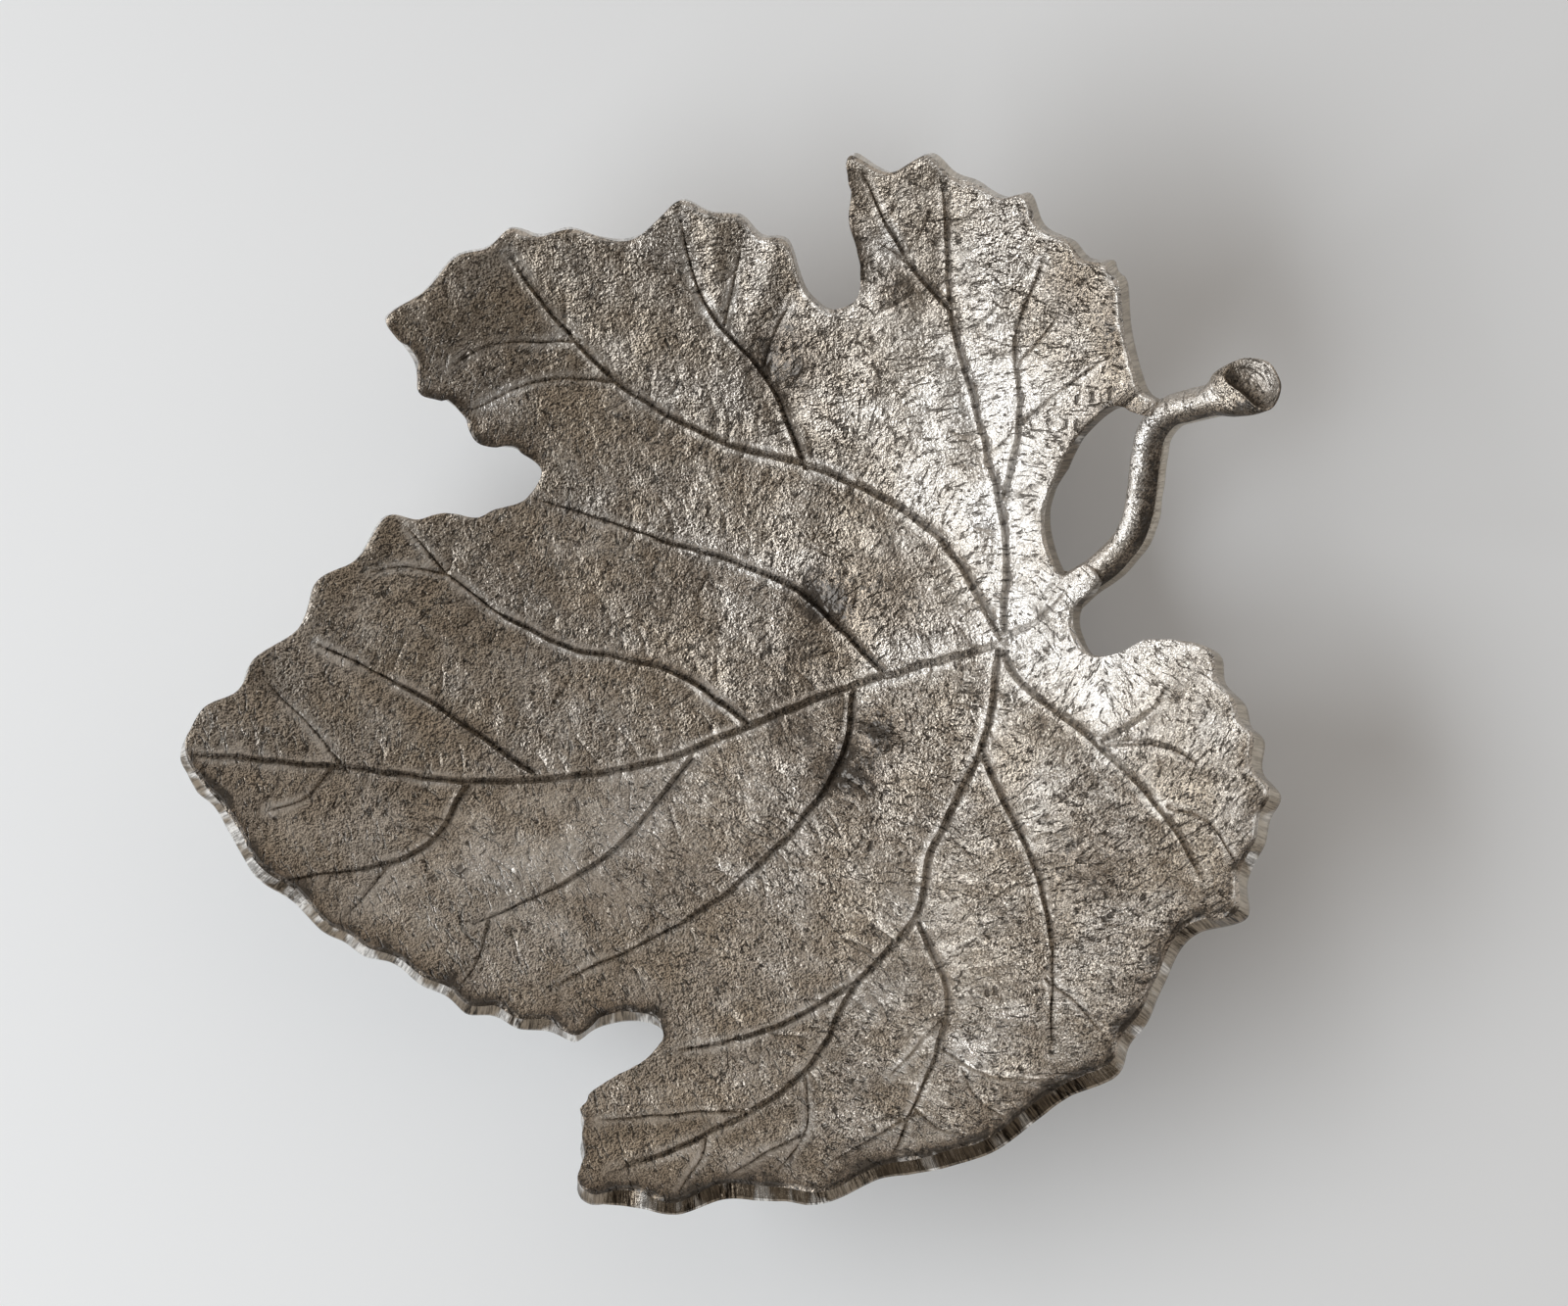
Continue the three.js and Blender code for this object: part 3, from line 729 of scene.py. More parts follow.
# Painted shade inside the edge, strongest on the near side and the lower right, and faint by the loop.
shaded_side = 0.3 + 0.7 * np.maximum(near_side, smoothstep(0.2, 0.8, lower_right))
edge_shade = 0.45 * bell(edge_gap, 7.0) * (0.8 + 0.9 * field_noise(upper_places, 14, 21.0))
edge_shade += 0.4 * bell(edge_gap, 1.2)
edge_shade *= shaded_side[edge_index]
by_the_loop = smoothstep(40, 70, upper_places[:, 0]) * np.exp(-(((upper_places[:, 1] - 22) / 38) ** 4))
edge_shade *= 1 - 0.85 * by_the_loop
# Stains and spots of painted shade.
for x, y, radius, strength in STAINS_AND_SHADE:
    away = np.linalg.norm(upper_places - np.array((x, y)), axis=1)
    edge_shade = np.maximum(edge_shade, strength * bell(away, radius))
edge_shade[: len(margin)] *= 1 - right_side
add_attribute(leaf_mesh, "stain_and_shade", edge_shade)

# Long soft patches that were rubbed most, with a painted highlight on them too: middle, direction along,
# length, width and strength.
RUBBED_AND_LIT_PATCHES = [((62, 38), (0.34, -0.94), 60, 22, 1.0), ((-44, -38), (0.97, 0.24), 45, 17, 0.5),
                  ((46, -66), (0.3, -0.95), 30, 18, 0.5), ((86, 0), (0.9, -0.44), 26, 15, 0.95)]
rubbed_and_lit = np.zeros(len(upper_places))
for middle, (along_x, along_y), length, width, strength in RUBBED_AND_LIT_PATCHES:
    from_middle = upper_places - np.array(middle)
    lengthwise = from_middle @ np.array((along_x, along_y)) / length
    sideways = from_middle @ np.array((along_y, -along_x)) / width
    rubbed_and_lit = np.maximum(rubbed_and_lit, strength * np.exp(-(lengthwise**2) - sideways**2))
# Bands beside the veins' lips: wear, with a painted highlight.
rubbed_and_lit = np.maximum(rubbed_and_lit, upper_band * (0.55 + 0.9 * field_noise(upper_places, 16, 31.0)))
# The right-hand edge with its burr is bare, bright metal: wear, with a painted highlight.
rubbed_and_lit[: len(margin)] = np.maximum(rubbed_and_lit[: len(margin)], right_side)
add_attribute(leaf_mesh, "rubbed_and_lit", rubbed_and_lit)
edge_dark = np.zeros(len(upper_places))
# The edge is darker towards the lower right: partly its finish, partly painted shade.
edge_dark[: len(margin)] = 0.5 + 0.5 * lower_right
add_attribute(leaf_mesh, "edge_dark", edge_dark)
edge_tan = np.zeros(len(upper_places))
edge_tan[: len(margin)] = right_side
add_attribute(leaf_mesh, "edge_tan", edge_tan)
print("Leaf has", len(leaf_mesh.polygons), "faces so far")

# %% [markdown]
# ## The ground edge
# The caster grinds the edge square to the dish, which leaves small facets and a bright burr along the
# top. The border of the upper face is extruded row by row down the wall, and each row is set in its place.
# A row keeps its number and its place along the rim, because extruding copies a point's attributes.


# %% Rows of the rim
def rim_row_points(row):
    inset, depth = RIM_ROWS[row]
    share = depth / WALL
    inset = inset - (1 - share) * top_facets - share * low_facets if depth > 0.2 else inset
    if row == 1:
        inset = inset + 0.75 * broken_edge
    inset = inset + draft * max(depth, 0) + chamfer * (1 - min(max(depth, 0) / CHAMFER_DEPTH, 1))
    base = np.column_stack([margin, dish_height(margin)])
    normal = dish_normal(margin)
    out = np.column_stack([margin_out, np.zeros(len(margin))])
    out = unit(out - normal * (out * normal).sum(1, keepdims=True))
    relief = (upper_z[: len(margin)] - base[:, 2]) * (1 - max(depth, 0) / WALL)
    points = base - out * np.reshape(inset, (-1, 1)) - normal * depth
    points[:, 2] += relief
    return points


def read_points(mesh):
    points = np.empty((len(mesh.vertices), 3), np.float32)
    mesh.vertices.foreach_get("co", points.ravel())
    return points


def read_attribute(mesh, name, kind=np.int32):
    values = np.empty(len(mesh.vertices), kind)
    mesh.attributes[name].data.foreach_get("value", values)
    return values


bpy.ops.object.mode_set(mode="EDIT")
bpy.ops.mesh.select_mode(type="EDGE")
bpy.ops.mesh.select_all(action="DESELECT")
bpy.ops.mesh.select_non_manifold(extend=False, use_wire=False, use_multi_face=False, use_non_contiguous=False,
                                 use_verts=False)
for row in range(1, len(RIM_ROWS)):
    before = len(leaf_mesh.vertices)
    bpy.ops.mesh.extrude_edges_move()
    bpy.ops.object.mode_set(mode="OBJECT")
    added = np.arange(before, len(leaf_mesh.vertices))
    places = read_attribute(leaf_mesh, "rim_place")[added]
    coordinates = read_points(leaf_mesh)
    coordinates[added] = rim_row_points(row)[places] * MM
    leaf_mesh.vertices.foreach_set("co", coordinates.ravel())
    rows = read_attribute(leaf_mesh, "rim_row")
    rows[added] = row
    leaf_mesh.attributes["rim_row"].data.foreach_set("value", rows)
    bpy.ops.object.mode_set(mode="EDIT")
bpy.ops.object.mode_set(mode="OBJECT")
print("Rim added:", len(leaf_mesh.polygons) - len(upper_faces), "faces")

# %% [markdown]
# ## The underside
# The underside follows the dish at the wall's thickness. The five ribs stand proud there, and three round
# bosses carry the feet. It is seldom seen, so its points lie wider apart, and it is joined to the last
# row of the rim.

# %% Underside
BOSS_RADIUS = 7.5
BOSS_BOTTOM = 2.6
FOOT_CIRCLE = 38
UNDER_RIB_HALF = 2.0
UNDER_RIB_HEIGHT = 1.3
UNDER_GRID = 2.5

foot_turns = [math.pi / 2 + i * 2 * math.pi / 3 for i in range(3)]
foot_places = np.array([DISH_CENTRE + FOOT_CIRCLE * np.array((math.cos(a), math.sin(a))) for a in foot_turns])
lower_edge = rim_row_points(len(RIM_ROWS) - 1)
circle = np.array([(math.cos(a), math.sin(a)) for a in np.linspace(0, 2 * math.pi, 48, endpoint=False)])

under_field = PointField(1.0)
under_field.add(lower_edge[:, :2], 0)
for place in foot_places:
    for radius in (BOSS_RADIUS - 0.7, BOSS_RADIUS - 0.15, BOSS_RADIUS, BOSS_RADIUS + 0.5, BOSS_RADIUS + 1.6):
        under_field.add(place + radius * circle, 0.1)
for route in RIBS:
    rib_rows = rows_beside(even_line(route[:-1], 1.8), UNDER_RIB_HALF, (0, 0.5, -0.5, 1, -1, 1.5, -1.5))
    under_field.add(rib_rows, 0.7)
under_field.add(hexagon_field(UNDER_GRID, 126), 1.3)
under_places, under_faces = triangulate(under_field.kept, len(margin))


def under_height(places):
    upright = dish_normal(places)[:, 2]
    rib = np.zeros(len(places))
    for route in RIBS:
        gap, share = nearest_on_line(places, even_line(route[:-1], 3))
        taper = 1 - VEIN_TAPER * share
        across = gap / (UNDER_RIB_HALF * taper)
        rib = np.maximum(rib, UNDER_RIB_HEIGHT * taper * (1 - smoothstep(0.3, 1.2, across)))
    height = dish_height(places) - WALL / upright - rib + 0.25 * field_noise(places, 7, 12.0)
    for place in foot_places:
        radius = np.linalg.norm(places - place, axis=1)
        share = 1 - smoothstep(BOSS_RADIUS - 0.16, BOSS_RADIUS + 1.2, radius)
        height = height + share * (BOSS_BOTTOM - height)
        height[radius < BOSS_RADIUS - 0.1] = BOSS_BOTTOM
    return height


under_points = np.column_stack([under_places, under_height(under_places)])
under_points[: len(margin)] = lower_edge
under_mesh = bpy.data.meshes.new("underside")
under_mesh.from_pydata((under_points * MM).tolist(), [], [face[::-1] for face in under_faces])
underside = bpy.data.objects.new("underside", under_mesh)
bpy.context.collection.objects.link(underside)
underside.select_set(True)
bpy.ops.object.join()
bpy.ops.object.mode_set(mode="EDIT")
bpy.ops.mesh.select_all(action="SELECT")
bpy.ops.mesh.remove_doubles(threshold=0.00002)
bpy.ops.mesh.normals_make_consistent(inside=False)
bpy.ops.object.mode_set(mode="OBJECT")
print("Leaf closed:", len(leaf_mesh.polygons), "faces,", len(leaf_mesh.vertices), "points")

# %% [markdown]
# ## Rim coordinates
# The scratches of the grinding wheel run across the edge, so the edge's material needs to know how far
# along the rim each point is. A UV map holds that: across is the way round the rim, up is the depth.


# %% UV map of the rim
def read_corners(mesh):
    points = np.empty(len(mesh.loops), np.int32)
    mesh.loops.foreach_get("vertex_index", points)
    return points


def add_uv_map(mesh, name, places):
    """A UV map from places in millimetres, one for each corner of a face. Its unit is a centimetre."""
    mesh.uv_layers.new(name=name).data.foreach_set("uv", (places / 10).astype(np.float32).ravel())


corner_points = read_corners(leaf_mesh)
corner_face = np.repeat(np.arange(len(leaf_mesh.polygons)), [len(p.vertices) for p in leaf_mesh.polygons])


def over_faces(pick, values, start):
    """The least, the most or the sum of the values at each face's corners."""
    found = np.full((len(leaf_mesh.polygons), *values.shape[1:]), start)
    pick.at(found, corner_face, values[corner_points])
    return found


place_of = read_attribute(leaf_mesh, "rim_place")
row_of = read_attribute(leaf_mesh, "rim_row")
row_low, row_high = over_faces(np.minimum, row_of, 99), over_faces(np.maximum, row_of, -99)
place_low, place_high = over_faces(np.minimum, place_of, 10**6), over_faces(np.maximum, place_of, -1)
is_rim = (row_high > row_low) & (place_low >= 0) & (row_high - row_low == 1)

depths = np.array([depth for _, depth in RIM_ROWS])
corner_place = place_of[corner_points].astype(float)
wraps = (place_high - place_low > len(margin) / 2)[corner_face] & (corner_place < len(margin) / 2)
corner_place[wraps] += len(margin)
rim_uv = np.column_stack([corner_place * EDGE_STEP, depths[row_of[corner_points]]])
add_uv_map(leaf_mesh, "rim", rim_uv * is_rim[corner_face][:, None])
print("Rim faces:", int(is_rim.sum()))

# %% [markdown]
# ## Coordinates beside the veins
# A leaf's skin wrinkles straight away from its veins. A second UV map lets the material follow that:
# across is the way along the nearest vein, up is the distance from it. Each face takes its own nearest
# vein, so that no face is stretched between two of them.

# %% UV map beside the veins
SIDE_SHIFT = 300
GRAIN_STEP = 4.0
BEFORE_START = 3.0  # places before a vein's start count as this much further from it
EXTRA_STEPS = np.arange(1, 11)[:, None]


def line_run_on(route):
    """A vein's line that runs straight on beyond its end, so that wrinkles stay across it there too."""
    line = even_line(route, GRAIN_STEP)
    return np.vstack([line, line[-1] + EXTRA_STEPS * (line[-1] - line[-2])])


grain_lines = [line_run_on(route) for route in RIBS + SIDE_VEINS]
flat_points = read_points(leaf_mesh)[:, :2].astype(float) / MM
corner_count = np.bincount(corner_face)
face_middle = over_faces(np.add, flat_points, 0.0) / corner_count[:, None]
best_gap = np.full(len(face_middle), 1e6)
vein_uv = np.zeros((len(corner_points), 2))
for number, line in enumerate(grain_lines):
    parts = [nearest_on_line(part, line) for part in np.array_split(flat_points, 20)]
    gap, share = (np.concatenate(values) for values in zip(*parts))
    face_gap = over_faces(np.add, gap + BEFORE_START * (share <= 0), 0.0) / corner_count
    nearer = face_gap < best_gap
    best_gap[nearer] = face_gap[nearer]
    along = line[-1] - line[0]
    chord = face_middle - line[0]
    left_side = along[0] * chord[:, 1] - along[1] * chord[:, 0] > 0
    chosen = nearer[corner_face]
    run = share * GRAIN_STEP * (len(line) - 1) + number * SIDE_SHIFT
    vein_uv[chosen, 0] = run[corner_points[chosen]] + left_side[corner_face[chosen]] * SIDE_SHIFT / 2
    vein_uv[chosen, 1] = gap[corner_points[chosen]]
add_uv_map(leaf_mesh, "beside_vein", vein_uv)
print("Furthest from a vein:", round(float(best_gap.max()), 1), "mm")

# %% [markdown]
# ## Cast metal
# Sand leaves a grain of about half a millimetre, and the leaf that was pressed into the sand leaves wrinkles
# that run away from its veins. The metal is nickel-toned, and was darkened and then rubbed: the dark patina
# stays in pits, wrinkles and veins, and the high spots shine. On top of that each grain gets painted light on
# its side towards the lamp and painted shade on its lee side. The lee side is found by taking the height of
# the skin a little to one side, towards the lamp, from the height here.

# %% Cast metal material
BRIGHT_METAL = (0.9, 0.875, 0.845)
DULL_METAL = (0.63, 0.535, 0.425)
BROWN_PATINA = (0.045, 0.031, 0.019)
BLACK_PATINA = (0.032, 0.024, 0.017)
DARKENED_METAL = (0.27, 0.21, 0.155)
# A small step towards the lamp, for the painted light and shade on each grain.
TOWARDS_PAINTED_LIGHT = (-0.00013, 0.00008, 0)
LUMP_BUMP = 0.0008
WRINKLE_BUMP = -0.0007
SKIN_BUMP = 0.00046


def bent_coordinates(coordinates, scale, warp):
    """Coordinates that a noise pushes about, by up to half of the given warp."""
    push = moved(noise_of(coordinates, scale, output="Color"), (-0.5, -0.5, -0.5))
    inputs = {0: push, 1: (warp,) * 3, 2: coordinates}
    return add_node(coordinates.tree, "ShaderNodeVectorMath", inputs, 0, operation="MULTIPLY_ADD")


def skin_height(coordinates):
    """Height of the sand-cast skin, about 0 to 1: folds of two millimetres with fine sand on them."""
    return noise_of(coordinates, 640, 2.0, 0.6) * 0.45 + noise_of(coordinates, 1900, 2.0, 0.7) * 0.55


cast_metal, tree, shader = new_material("cast_metal")
where = object_coordinates(tree)
rough_where = bent_coordinates(where, 700, 0.0008)
skin = skin_height(rough_where)
# Painted light and shade on each grain: above 0 on the side towards the lamp, below 0 on the lee side.
grain_lit_side = skin - skin_height(moved(rough_where, TOWARDS_PAINTED_LIGHT))
lumps = noise_of(where, 230, 3.0, 0.6)
patches = noise_of(where, 55, 3.0, 0.6)
away_from_vein = bent_coordinates(scaled(uv_of(tree, "beside_vein"), (1, 0.3, 1)), 5.0, 0.16)
ridges = {"Vector": away_from_vein, "Scale": 5.0, "Detail": 3.0, "Roughness": 0.6, "Offset": 1.0, "Gain": 2.0}
ridges = add_node(tree, "ShaderNodeTexNoise", ridges, "Fac", noise_type="RIDGED_MULTIFRACTAL")
wrinkles = ridges.ramp(1.66, 2.06)
vein, stain_and_shade, rubbed_and_lit = (attribute_of(tree, name) for name in ("vein", "stain_and_shade", "rubbed_and_lit"))

# The brown film lies in pits and wrinkles, and as painted shade on the lee side of each grain. There is less
# of it where the metal was rubbed and where a highlight is painted.
less_brown = rubbed_and_lit + (noise_of(where, 110, 3.0, 0.6) - 0.5) * 2.2
brown = skin.ramp(0.48, 0.4).most(grain_lit_side.ramp(0.02, -0.026)) * less_brown.ramp(-0.05, 1.05, 1.0, 0.35)
brown = brown.most(wrinkles * 0.8).most(vein * 0.5)

# The black filling is in veins, in deep wrinkles and in clumps where the finish was left thicker; the clumps
# also gather in the painted shade along the edge and on the stalk.
worn_vein = (vein - (skin - 0.43) * 1.6).ramp(0.55, 0.85) * lumps.ramp(0.35, 0.58, 0.35, 0.9)
clumps = (lumps - 0.5) * 1.6 + (skin - 0.5) * -1.2
black = (stain_and_shade + clumps).ramp(0.4, 0.85, 0.0, 0.88).most(worn_vein)
black = black.most(wrinkles * rubbed_and_lit.ramp(0.0, 0.7, 0.75, 0.1))

# Brighter metal where it was rubbed, where a highlight is painted, and in random patches.
rubbed_and_lit_tone = rubbed_and_lit * 0.5 + patches.ramp(0.3, 0.7, 0.0, 0.55)
metal_tone = colour_between(rubbed_and_lit_tone, DULL_METAL, BRIGHT_METAL)
# Stains and painted shade dull the metal.
metal_tone = colour_between(stain_and_shade.ramp(0.05, 0.65, 0.0, 0.75), metal_tone, DARKENED_METAL)
metal_tone = colour_between(brown, metal_tone, BROWN_PATINA)
colour_between(black, metal_tone, BLACK_PATINA).into(shader, "Base Color")
(1.0 - brown.most(black)).ramp(0.0, 1.0, 0.3, 0.92).into(shader, "Metallic")
patches.ramp(0.35, 0.7, 0.31, 0.27).into(shader, "Roughness")
shader.inputs["Specular IOR Level"].default_value = 0.8
relief = bump_of(lumps, LUMP_BUMP)
relief = bump_of(wrinkles, WRINKLE_BUMP, normal=relief)
bump_of(skin, SKIN_BUMP, 1.0 - black, relief).into(shader, "Normal")
print("Cast metal has", len(tree.nodes), "nodes")

# %% [markdown]
# ## Ground edge
# The edge was ground bright and then darkened a little with the rest. It is darker still towards the lower
# right, partly from that finish and partly as painted shade. On the right it stayed an even tan. Fine
# scratches and some deeper cuts run straight across it, so a noise is stretched down the wall through the
# rim's UV map.

# %% Ground edge material
DARK_EDGE = (0.3, 0.245, 0.185)
BRIGHT_EDGE = (0.9, 0.87, 0.83)
TAN_EDGE = (0.58, 0.515, 0.43)

ground_edge, tree, shader = new_material("ground_edge")
stretched, slanted = (scaled(uv_of(tree, "rim"), (1, down, 1)) for down in (0.07, 0.35))
scratches = noise_of(stretched, 20, 3.0, 0.7)
cuts = noise_of(stretched, 12, 2.0, 0.6).ramp(0.58, 0.64)
grain = noise_of(object_coordinates(tree), 900)
edge_dark, plain_tan = (attribute_of(tree, name) for name in ("edge_dark", "edge_tan"))
grouped = (noise_of(slanted, 1.6, 2.0, 0.6) + edge_dark * 0.1 - plain_tan * 0.3).ramp(0.5, 0.66)
dark = (cuts * grouped.most(0.35)).most(grouped * scratches.ramp(0.58, 0.42))
dark = dark.most(scratches.ramp(0.55, 0.4, 0.0, 0.6)) * plain_tan.ramp(0.0, 1.0, 1.0, 0.55)
facing = noise_of(slanted, 2.6, 1.0, 0.5) - edge_dark * 0.26
tone = colour_between(facing.ramp(0.3, 0.46), DARK_EDGE, BRIGHT_EDGE)
tone = colour_between(plain_tan * 0.9, tone, TAN_EDGE)
colour_between(dark, tone, BLACK_PATINA).into(shader, "Base Color")
shader.inputs["Metallic"].default_value = 1.0
shader.inputs["Roughness"].default_value = 0.2
relief = bump_of(scratches, 0.0001)
relief = bump_of(cuts, -0.00008, normal=relief)
bump_of(grain, 0.00006, normal=relief).into(shader, "Normal")

leaf_mesh.materials.append(cast_metal)
leaf_mesh.materials.append(ground_edge)
ground_faces = is_rim & (row_low >= 2)
leaf_mesh.polygons.foreach_set("material_index", ground_faces.astype(np.int32))
bpy.ops.object.shade_smooth_by_angle(angle=math.radians(55))
for face in np.flatnonzero(ground_faces):
    leaf_mesh.polygons[face].use_smooth = False
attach(leaf, "root")
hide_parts("leaf_bowl")
print("Leaf box, mm:", [round(d / MM, 1) for d in leaf.dimensions])

# %% [markdown]
# ## The stalk
# The stalk is a round ridge on a flat-sided bar, and ends in a flared, hollow cut. By hand it is a circle
# that is extruded step by step along its route. Its section is drawn three times, for the root inside the
# leaf, for the plain stalk and for the flare, and each ring is a blend of these.

# %% Sections of the stalk
# Points across (left is positive) and up from the middle of the wall, in millimetres.
PLAIN_SECTION = [(-3.6, 0.5), (-2.9, 1.6), (-2.2, 2.8), (-1.0, 3.9), (0.5, 4.3), (2.0, 3.6), (2.9, 2.1),
                 (3.3, 0.6), (3.3, -1.4), (2.9, -2.7), (0, -3.0), (-3.3, -2.9), (-4.1, -2.1)]
FLARE_SECTION = [(-7.4, 0.2), (-6.2, 1.5), (-4.0, 2.0), (-1.8, 1.9), (0.3, 1.8), (2.6, 1.9), (5.0, 1.9),
                 (7.2, 0.8), (7.2, -1.6), (5.4, -5.0), (0.6, -7.5), (-4.6, -5.8), (-6.9, -2.6)]
ROOT_SECTION = [(-4.4, 0.3), (-3.6, 1.6), (-2.6, 2.6), (-1.2, 3.4), (0.4, 3.7), (2.0, 3.2), (3.2, 2.2),
                (4.0, 1.0), (4.0, -1.0), (3.4, -2.3), (0, -2.5), (-3.8, -2.4), (-4.5, -1.6)]
FLARE_LENGTH = 13
FLARE_TURN = 0.7
FLARE_TILT = 0.95
FLARE_LIFT = 3
ROOT_LENGTH = 12
SECTION_STEPS = 4

plain, flared, rooted = (smooth_curve(section, SECTION_STEPS, closed=True)
                         for section in (PLAIN_SECTION, FLARE_SECTION, ROOT_SECTION))
print("Each ring has", len(plain), "points")

# %% Rings of the stalk
stalk_normal = dish_normal(stalk_line)
stalk_spine = np.column_stack([stalk_line, dish_height(stalk_line)]) - stalk_normal * WALL / 2
stalk_run = np.concatenate([[0], np.cumsum(np.linalg.norm(np.diff(stalk_spine, axis=0), axis=1))])
flare = smoothstep(0, FLARE_LENGTH, stalk_run - stalk_run[-1] + FLARE_LENGTH)[:, None]
root = 1 - smoothstep(0, ROOT_LENGTH, stalk_run)[:, None]
stalk_left = unit(np.cross(stalk_normal, np.gradient(stalk_spine, axis=0)))
forward = np.cross(stalk_left, stalk_normal)
stalk_left = unit(stalk_left * np.cos(FLARE_TURN * flare) - forward * np.sin(FLARE_TURN * flare))
forward = np.cross(stalk_left, stalk_normal)
stalk_up = stalk_normal * np.cos(FLARE_TILT * flare) - forward * np.sin(FLARE_TILT * flare)
stalk_spine = stalk_spine + stalk_normal * FLARE_LIFT * flare

rings = []
for i in range(len(stalk_line)):
    section = plain * (1 - flare[i]) * (1 - root[i]) + flared * flare[i] + rooted * root[i] * (1 - flare[i])
    ring = stalk_spine[i] + section[:, :1] * stalk_left[i] + section[:, 1:] * stalk_up[i]
    wobble = np.array([noise.noise(point / 5.0) for point in ring])
    rings.append(ring + (ring - stalk_spine[i]) * 0.06 * wobble[:, None])

# The cut end: a narrow lip, then a hollow that sinks in steps. Each is a share of the end's size and a depth.
HOLLOW = [(0.93, -0.15), (0.84, 0.35), (0.7, 1.3), (0.5, 2.0), (0.25, 2.4)]
cut_middle = rings[-1].mean(0)
cut_facing = np.cross(stalk_left[-1], stalk_up[-1])
rings += [cut_middle + (rings[-1] - cut_middle) * share - cut_facing * depth for share, depth in HOLLOW]
ring_runs = np.append(stalk_run, stalk_run[-1] + np.arange(1, len(HOLLOW) + 1))
print("Stalk is", round(float(stalk_run[-1]), 1), "mm long, in", len(rings), "rings")

# %% Extrude the stalk
bpy.ops.object.select_all(action="DESELECT")
bpy.ops.mesh.primitive_circle_add(vertices=len(plain), radius=4 * MM, fill_type="NGON")
stalk = bpy.context.object
stalk.name = "stalk"
stalk_mesh = stalk.data
stalk_mesh.vertices.foreach_set("co", (rings[0] * MM).astype(np.float32).ravel())
add_attribute(stalk_mesh, "corner", np.arange(len(plain)), "INT")
add_attribute(stalk_mesh, "run", np.zeros(len(plain)))
bpy.ops.object.mode_set(mode="EDIT")
bpy.ops.mesh.select_mode(type="FACE")
bpy.ops.mesh.select_all(action="SELECT")
for run, ring in zip(ring_runs[1:], rings[1:]):
    before = len(stalk_mesh.vertices)
    bpy.ops.mesh.extrude_region_move()
    bpy.ops.object.mode_set(mode="OBJECT")
    corners = read_attribute(stalk_mesh, "corner")
    for i in range(before, len(stalk_mesh.vertices)):
        stalk_mesh.vertices[i].co = Vector(ring[corners[i]]) * MM
        stalk_mesh.attributes["run"].data[i].value = run
    bpy.ops.object.mode_set(mode="EDIT")

bpy.ops.mesh.select_all(action="SELECT")
bpy.ops.mesh.normals_make_consistent(inside=False)
bpy.ops.object.mode_set(mode="OBJECT")
print("Stalk:", len(stalk_mesh.polygons), "faces")

# %% [markdown]
# ## Finish of the stalk
# The stalk has the leaf's finish, with a painted highlight on the side towards the lamp and painted shade on
# the other. Its flat right side was ground like the edge. The hollow is darker with depth, with painted shade
# under its lip.

# %% Finish of the stalk
AWAY_FROM_LAMP = np.array((0.8, -0.6, 0.0))
TO_LAMP = np.array((-0.6, 0.35, 0.7))
UNDER_LIP = np.array((-0.7, -0.5, 0.0))

stalk_metal = cast_metal.copy()
stalk_metal.name = "stalk_metal"
stalk_along = read_attribute(stalk_mesh, "run", np.float32)
stalk_corner = read_attribute(stalk_mesh, "corner")
stalk_points = read_points(stalk_mesh) / MM
hollow_depth = stalk_along - stalk_run[-1]
# Painted shade in the hollow, under its near lip.
shade_under_lip = smoothstep(-2.5, 2.0, (stalk_points - cut_middle) @ UNDER_LIP)
nearest_ring = np.clip(np.searchsorted(stalk_run, stalk_along), 0, len(stalk_run) - 1)
from_spine = unit(stalk_points - stalk_spine[nearest_ring])
# Painted shade on the side away from the lamp, and deep in the hollow.
shade_away_from_lamp = smoothstep(-0.1, 0.75, from_spine @ AWAY_FROM_LAMP) * (hollow_depth <= 0)
shade_away_from_lamp += 0.4 * (hollow_depth > 0.5)
# Painted highlight on the side towards the lamp.
highlight_towards_lamp = smoothstep(0.2, 0.9, from_spine @ TO_LAMP)
highlight_towards_lamp = np.where(hollow_depth > 0, 0.5 * (1 - shade_under_lip), highlight_towards_lamp)
# The hollow's darkness with its painted shade goes into the vein attribute.
add_attribute(stalk_mesh, "vein", np.clip(hollow_depth / 2, 0, 1) * (0.3 + 0.7 * shade_under_lip))
add_attribute(stalk_mesh, "stain_and_shade", 0.8 * shade_away_from_lamp)
add_attribute(stalk_mesh, "rubbed_and_lit", highlight_towards_lamp)
add_attribute(stalk_mesh, "edge_tan", np.ones(len(stalk_points)))

side_first = SECTION_STEPS * (len(PLAIN_SECTION) - 1)
flare_start = stalk_run[-1] - 0.7 * FLARE_LENGTH
for face in stalk_mesh.polygons:
    corners = stalk_corner[list(face.vertices)]
    on_side = corners.min() == 0 and corners.max() >= side_first or corners.min() >= side_first
    before_flare = stalk_along[list(face.vertices)].max() < flare_start
    face.material_index = int(on_side and len(corners) == 4 and before_flare)
corner_of = read_corners(stalk_mesh)
along, around = stalk_along[corner_of], stalk_corner[corner_of]
add_uv_map(stalk_mesh, "rim", np.column_stack([along, around % side_first]))
add_uv_map(stalk_mesh, "beside_vein", np.column_stack([along, around / 1.5]))
stalk_mesh.materials.append(stalk_metal)
stalk_mesh.materials.append(ground_edge)
bpy.ops.object.shade_smooth_by_angle(angle=math.radians(55))
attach(stalk, "root")
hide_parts("stalk_handle")
print("Stalk box, mm:", [round(d / MM, 1) for d in stalk.dimensions])

# %% [markdown]
# ## Rubber feet
# Each foot is a moulded pad that is glued under a boss: a short cylinder with a rounded lower edge and a
# shallow dimple below. One is modelled, and the others are copies with their own mesh.

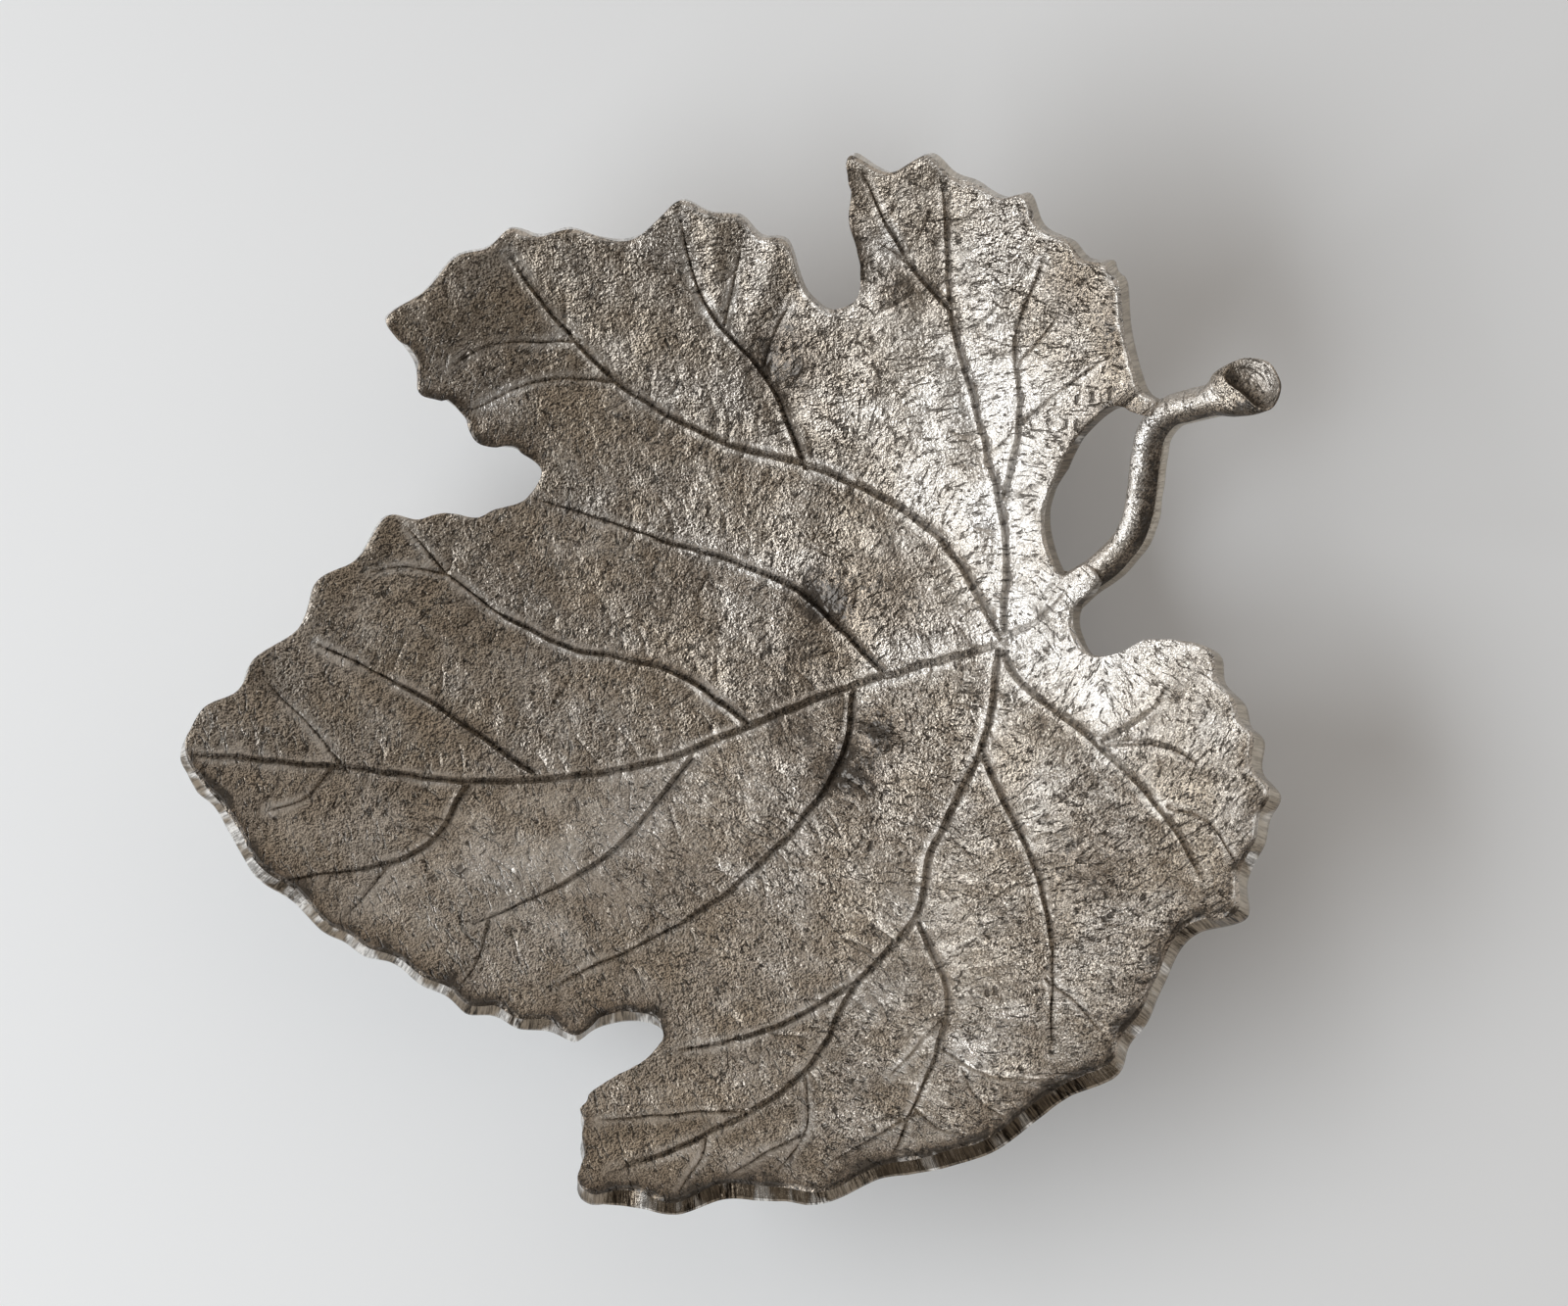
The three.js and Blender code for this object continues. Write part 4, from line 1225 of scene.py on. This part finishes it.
# %% Rubber feet
PAD_RADIUS = 6
PAD_HEIGHT = 2.5
PAD_ROUNDING = 0.8
PAD_FLAT = 2.6
DIMPLE_WALL = 0.7
DIMPLE_DEPTH = 0.5
RUBBER_TONES = (0.018, 0.018, 0.018), (0.045, 0.044, 0.042)

rubber, tree, shader = new_material("matt_rubber")
where = object_coordinates(tree)
bloom = noise_of(where, 420, 3.0)
colour_between(bloom, *RUBBER_TONES).into(shader, "Base Color")
bloom.ramp(0.3, 0.7, 0.75, 0.92).into(shader, "Roughness")
bump_of(noise_of(where, 1600), 0.00008).into(shader, "Normal")

bpy.ops.object.select_all(action="DESELECT")
first_middle = Vector((*foot_places[0], PAD_HEIGHT / 2)) * MM
bpy.ops.mesh.primitive_cylinder_add(vertices=48, radius=PAD_RADIUS * MM, depth=PAD_HEIGHT * MM,
                                    location=first_middle)
foot = bpy.context.object
bpy.ops.object.transform_apply(location=True, rotation=True, scale=True)
for face in foot.data.polygons:
    face.select = face.normal.z < -0.9
bpy.ops.object.mode_set(mode="EDIT")
bpy.ops.mesh.select_mode(type="FACE")
bpy.ops.mesh.inset(thickness=PAD_FLAT * MM)
bpy.ops.mesh.inset(thickness=DIMPLE_WALL * MM, depth=-DIMPLE_DEPTH * MM)
bpy.ops.object.mode_set(mode="OBJECT")
for edge in foot.data.edges:
    ends = [foot.data.vertices[v].co for v in edge.vertices]
    off_rim = [abs((end - first_middle).xy.length - PAD_RADIUS * MM) for end in ends]
    edge.select = max(off_rim) < 1e-5 and max(end.z for end in ends) < 1e-5
bpy.ops.object.mode_set(mode="EDIT")
bpy.ops.mesh.select_mode(type="EDGE")
bpy.ops.mesh.bevel(offset=PAD_ROUNDING * MM, segments=4)
bpy.ops.object.mode_set(mode="OBJECT")
foot.data.materials.append(rubber)
bpy.ops.object.shade_smooth_by_angle(angle=math.radians(40))

feet = [foot]
for place in foot_places[1:]:
    bpy.ops.object.duplicate(linked=False)
    step = Vector((*(place - foot_places[len(feet) - 1]), 0)) * MM
    bpy.ops.transform.translate(value=step)
    bpy.ops.object.transform_apply(location=True, rotation=True, scale=True)
    feet.append(bpy.context.object)
for i, foot in enumerate(feet, 1):
    foot.name = f"rubber_pad_{i}"
    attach(foot, "root")
    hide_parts(f"rubber_foot_{i}")
print("Feet at", foot_places.round(1).tolist())
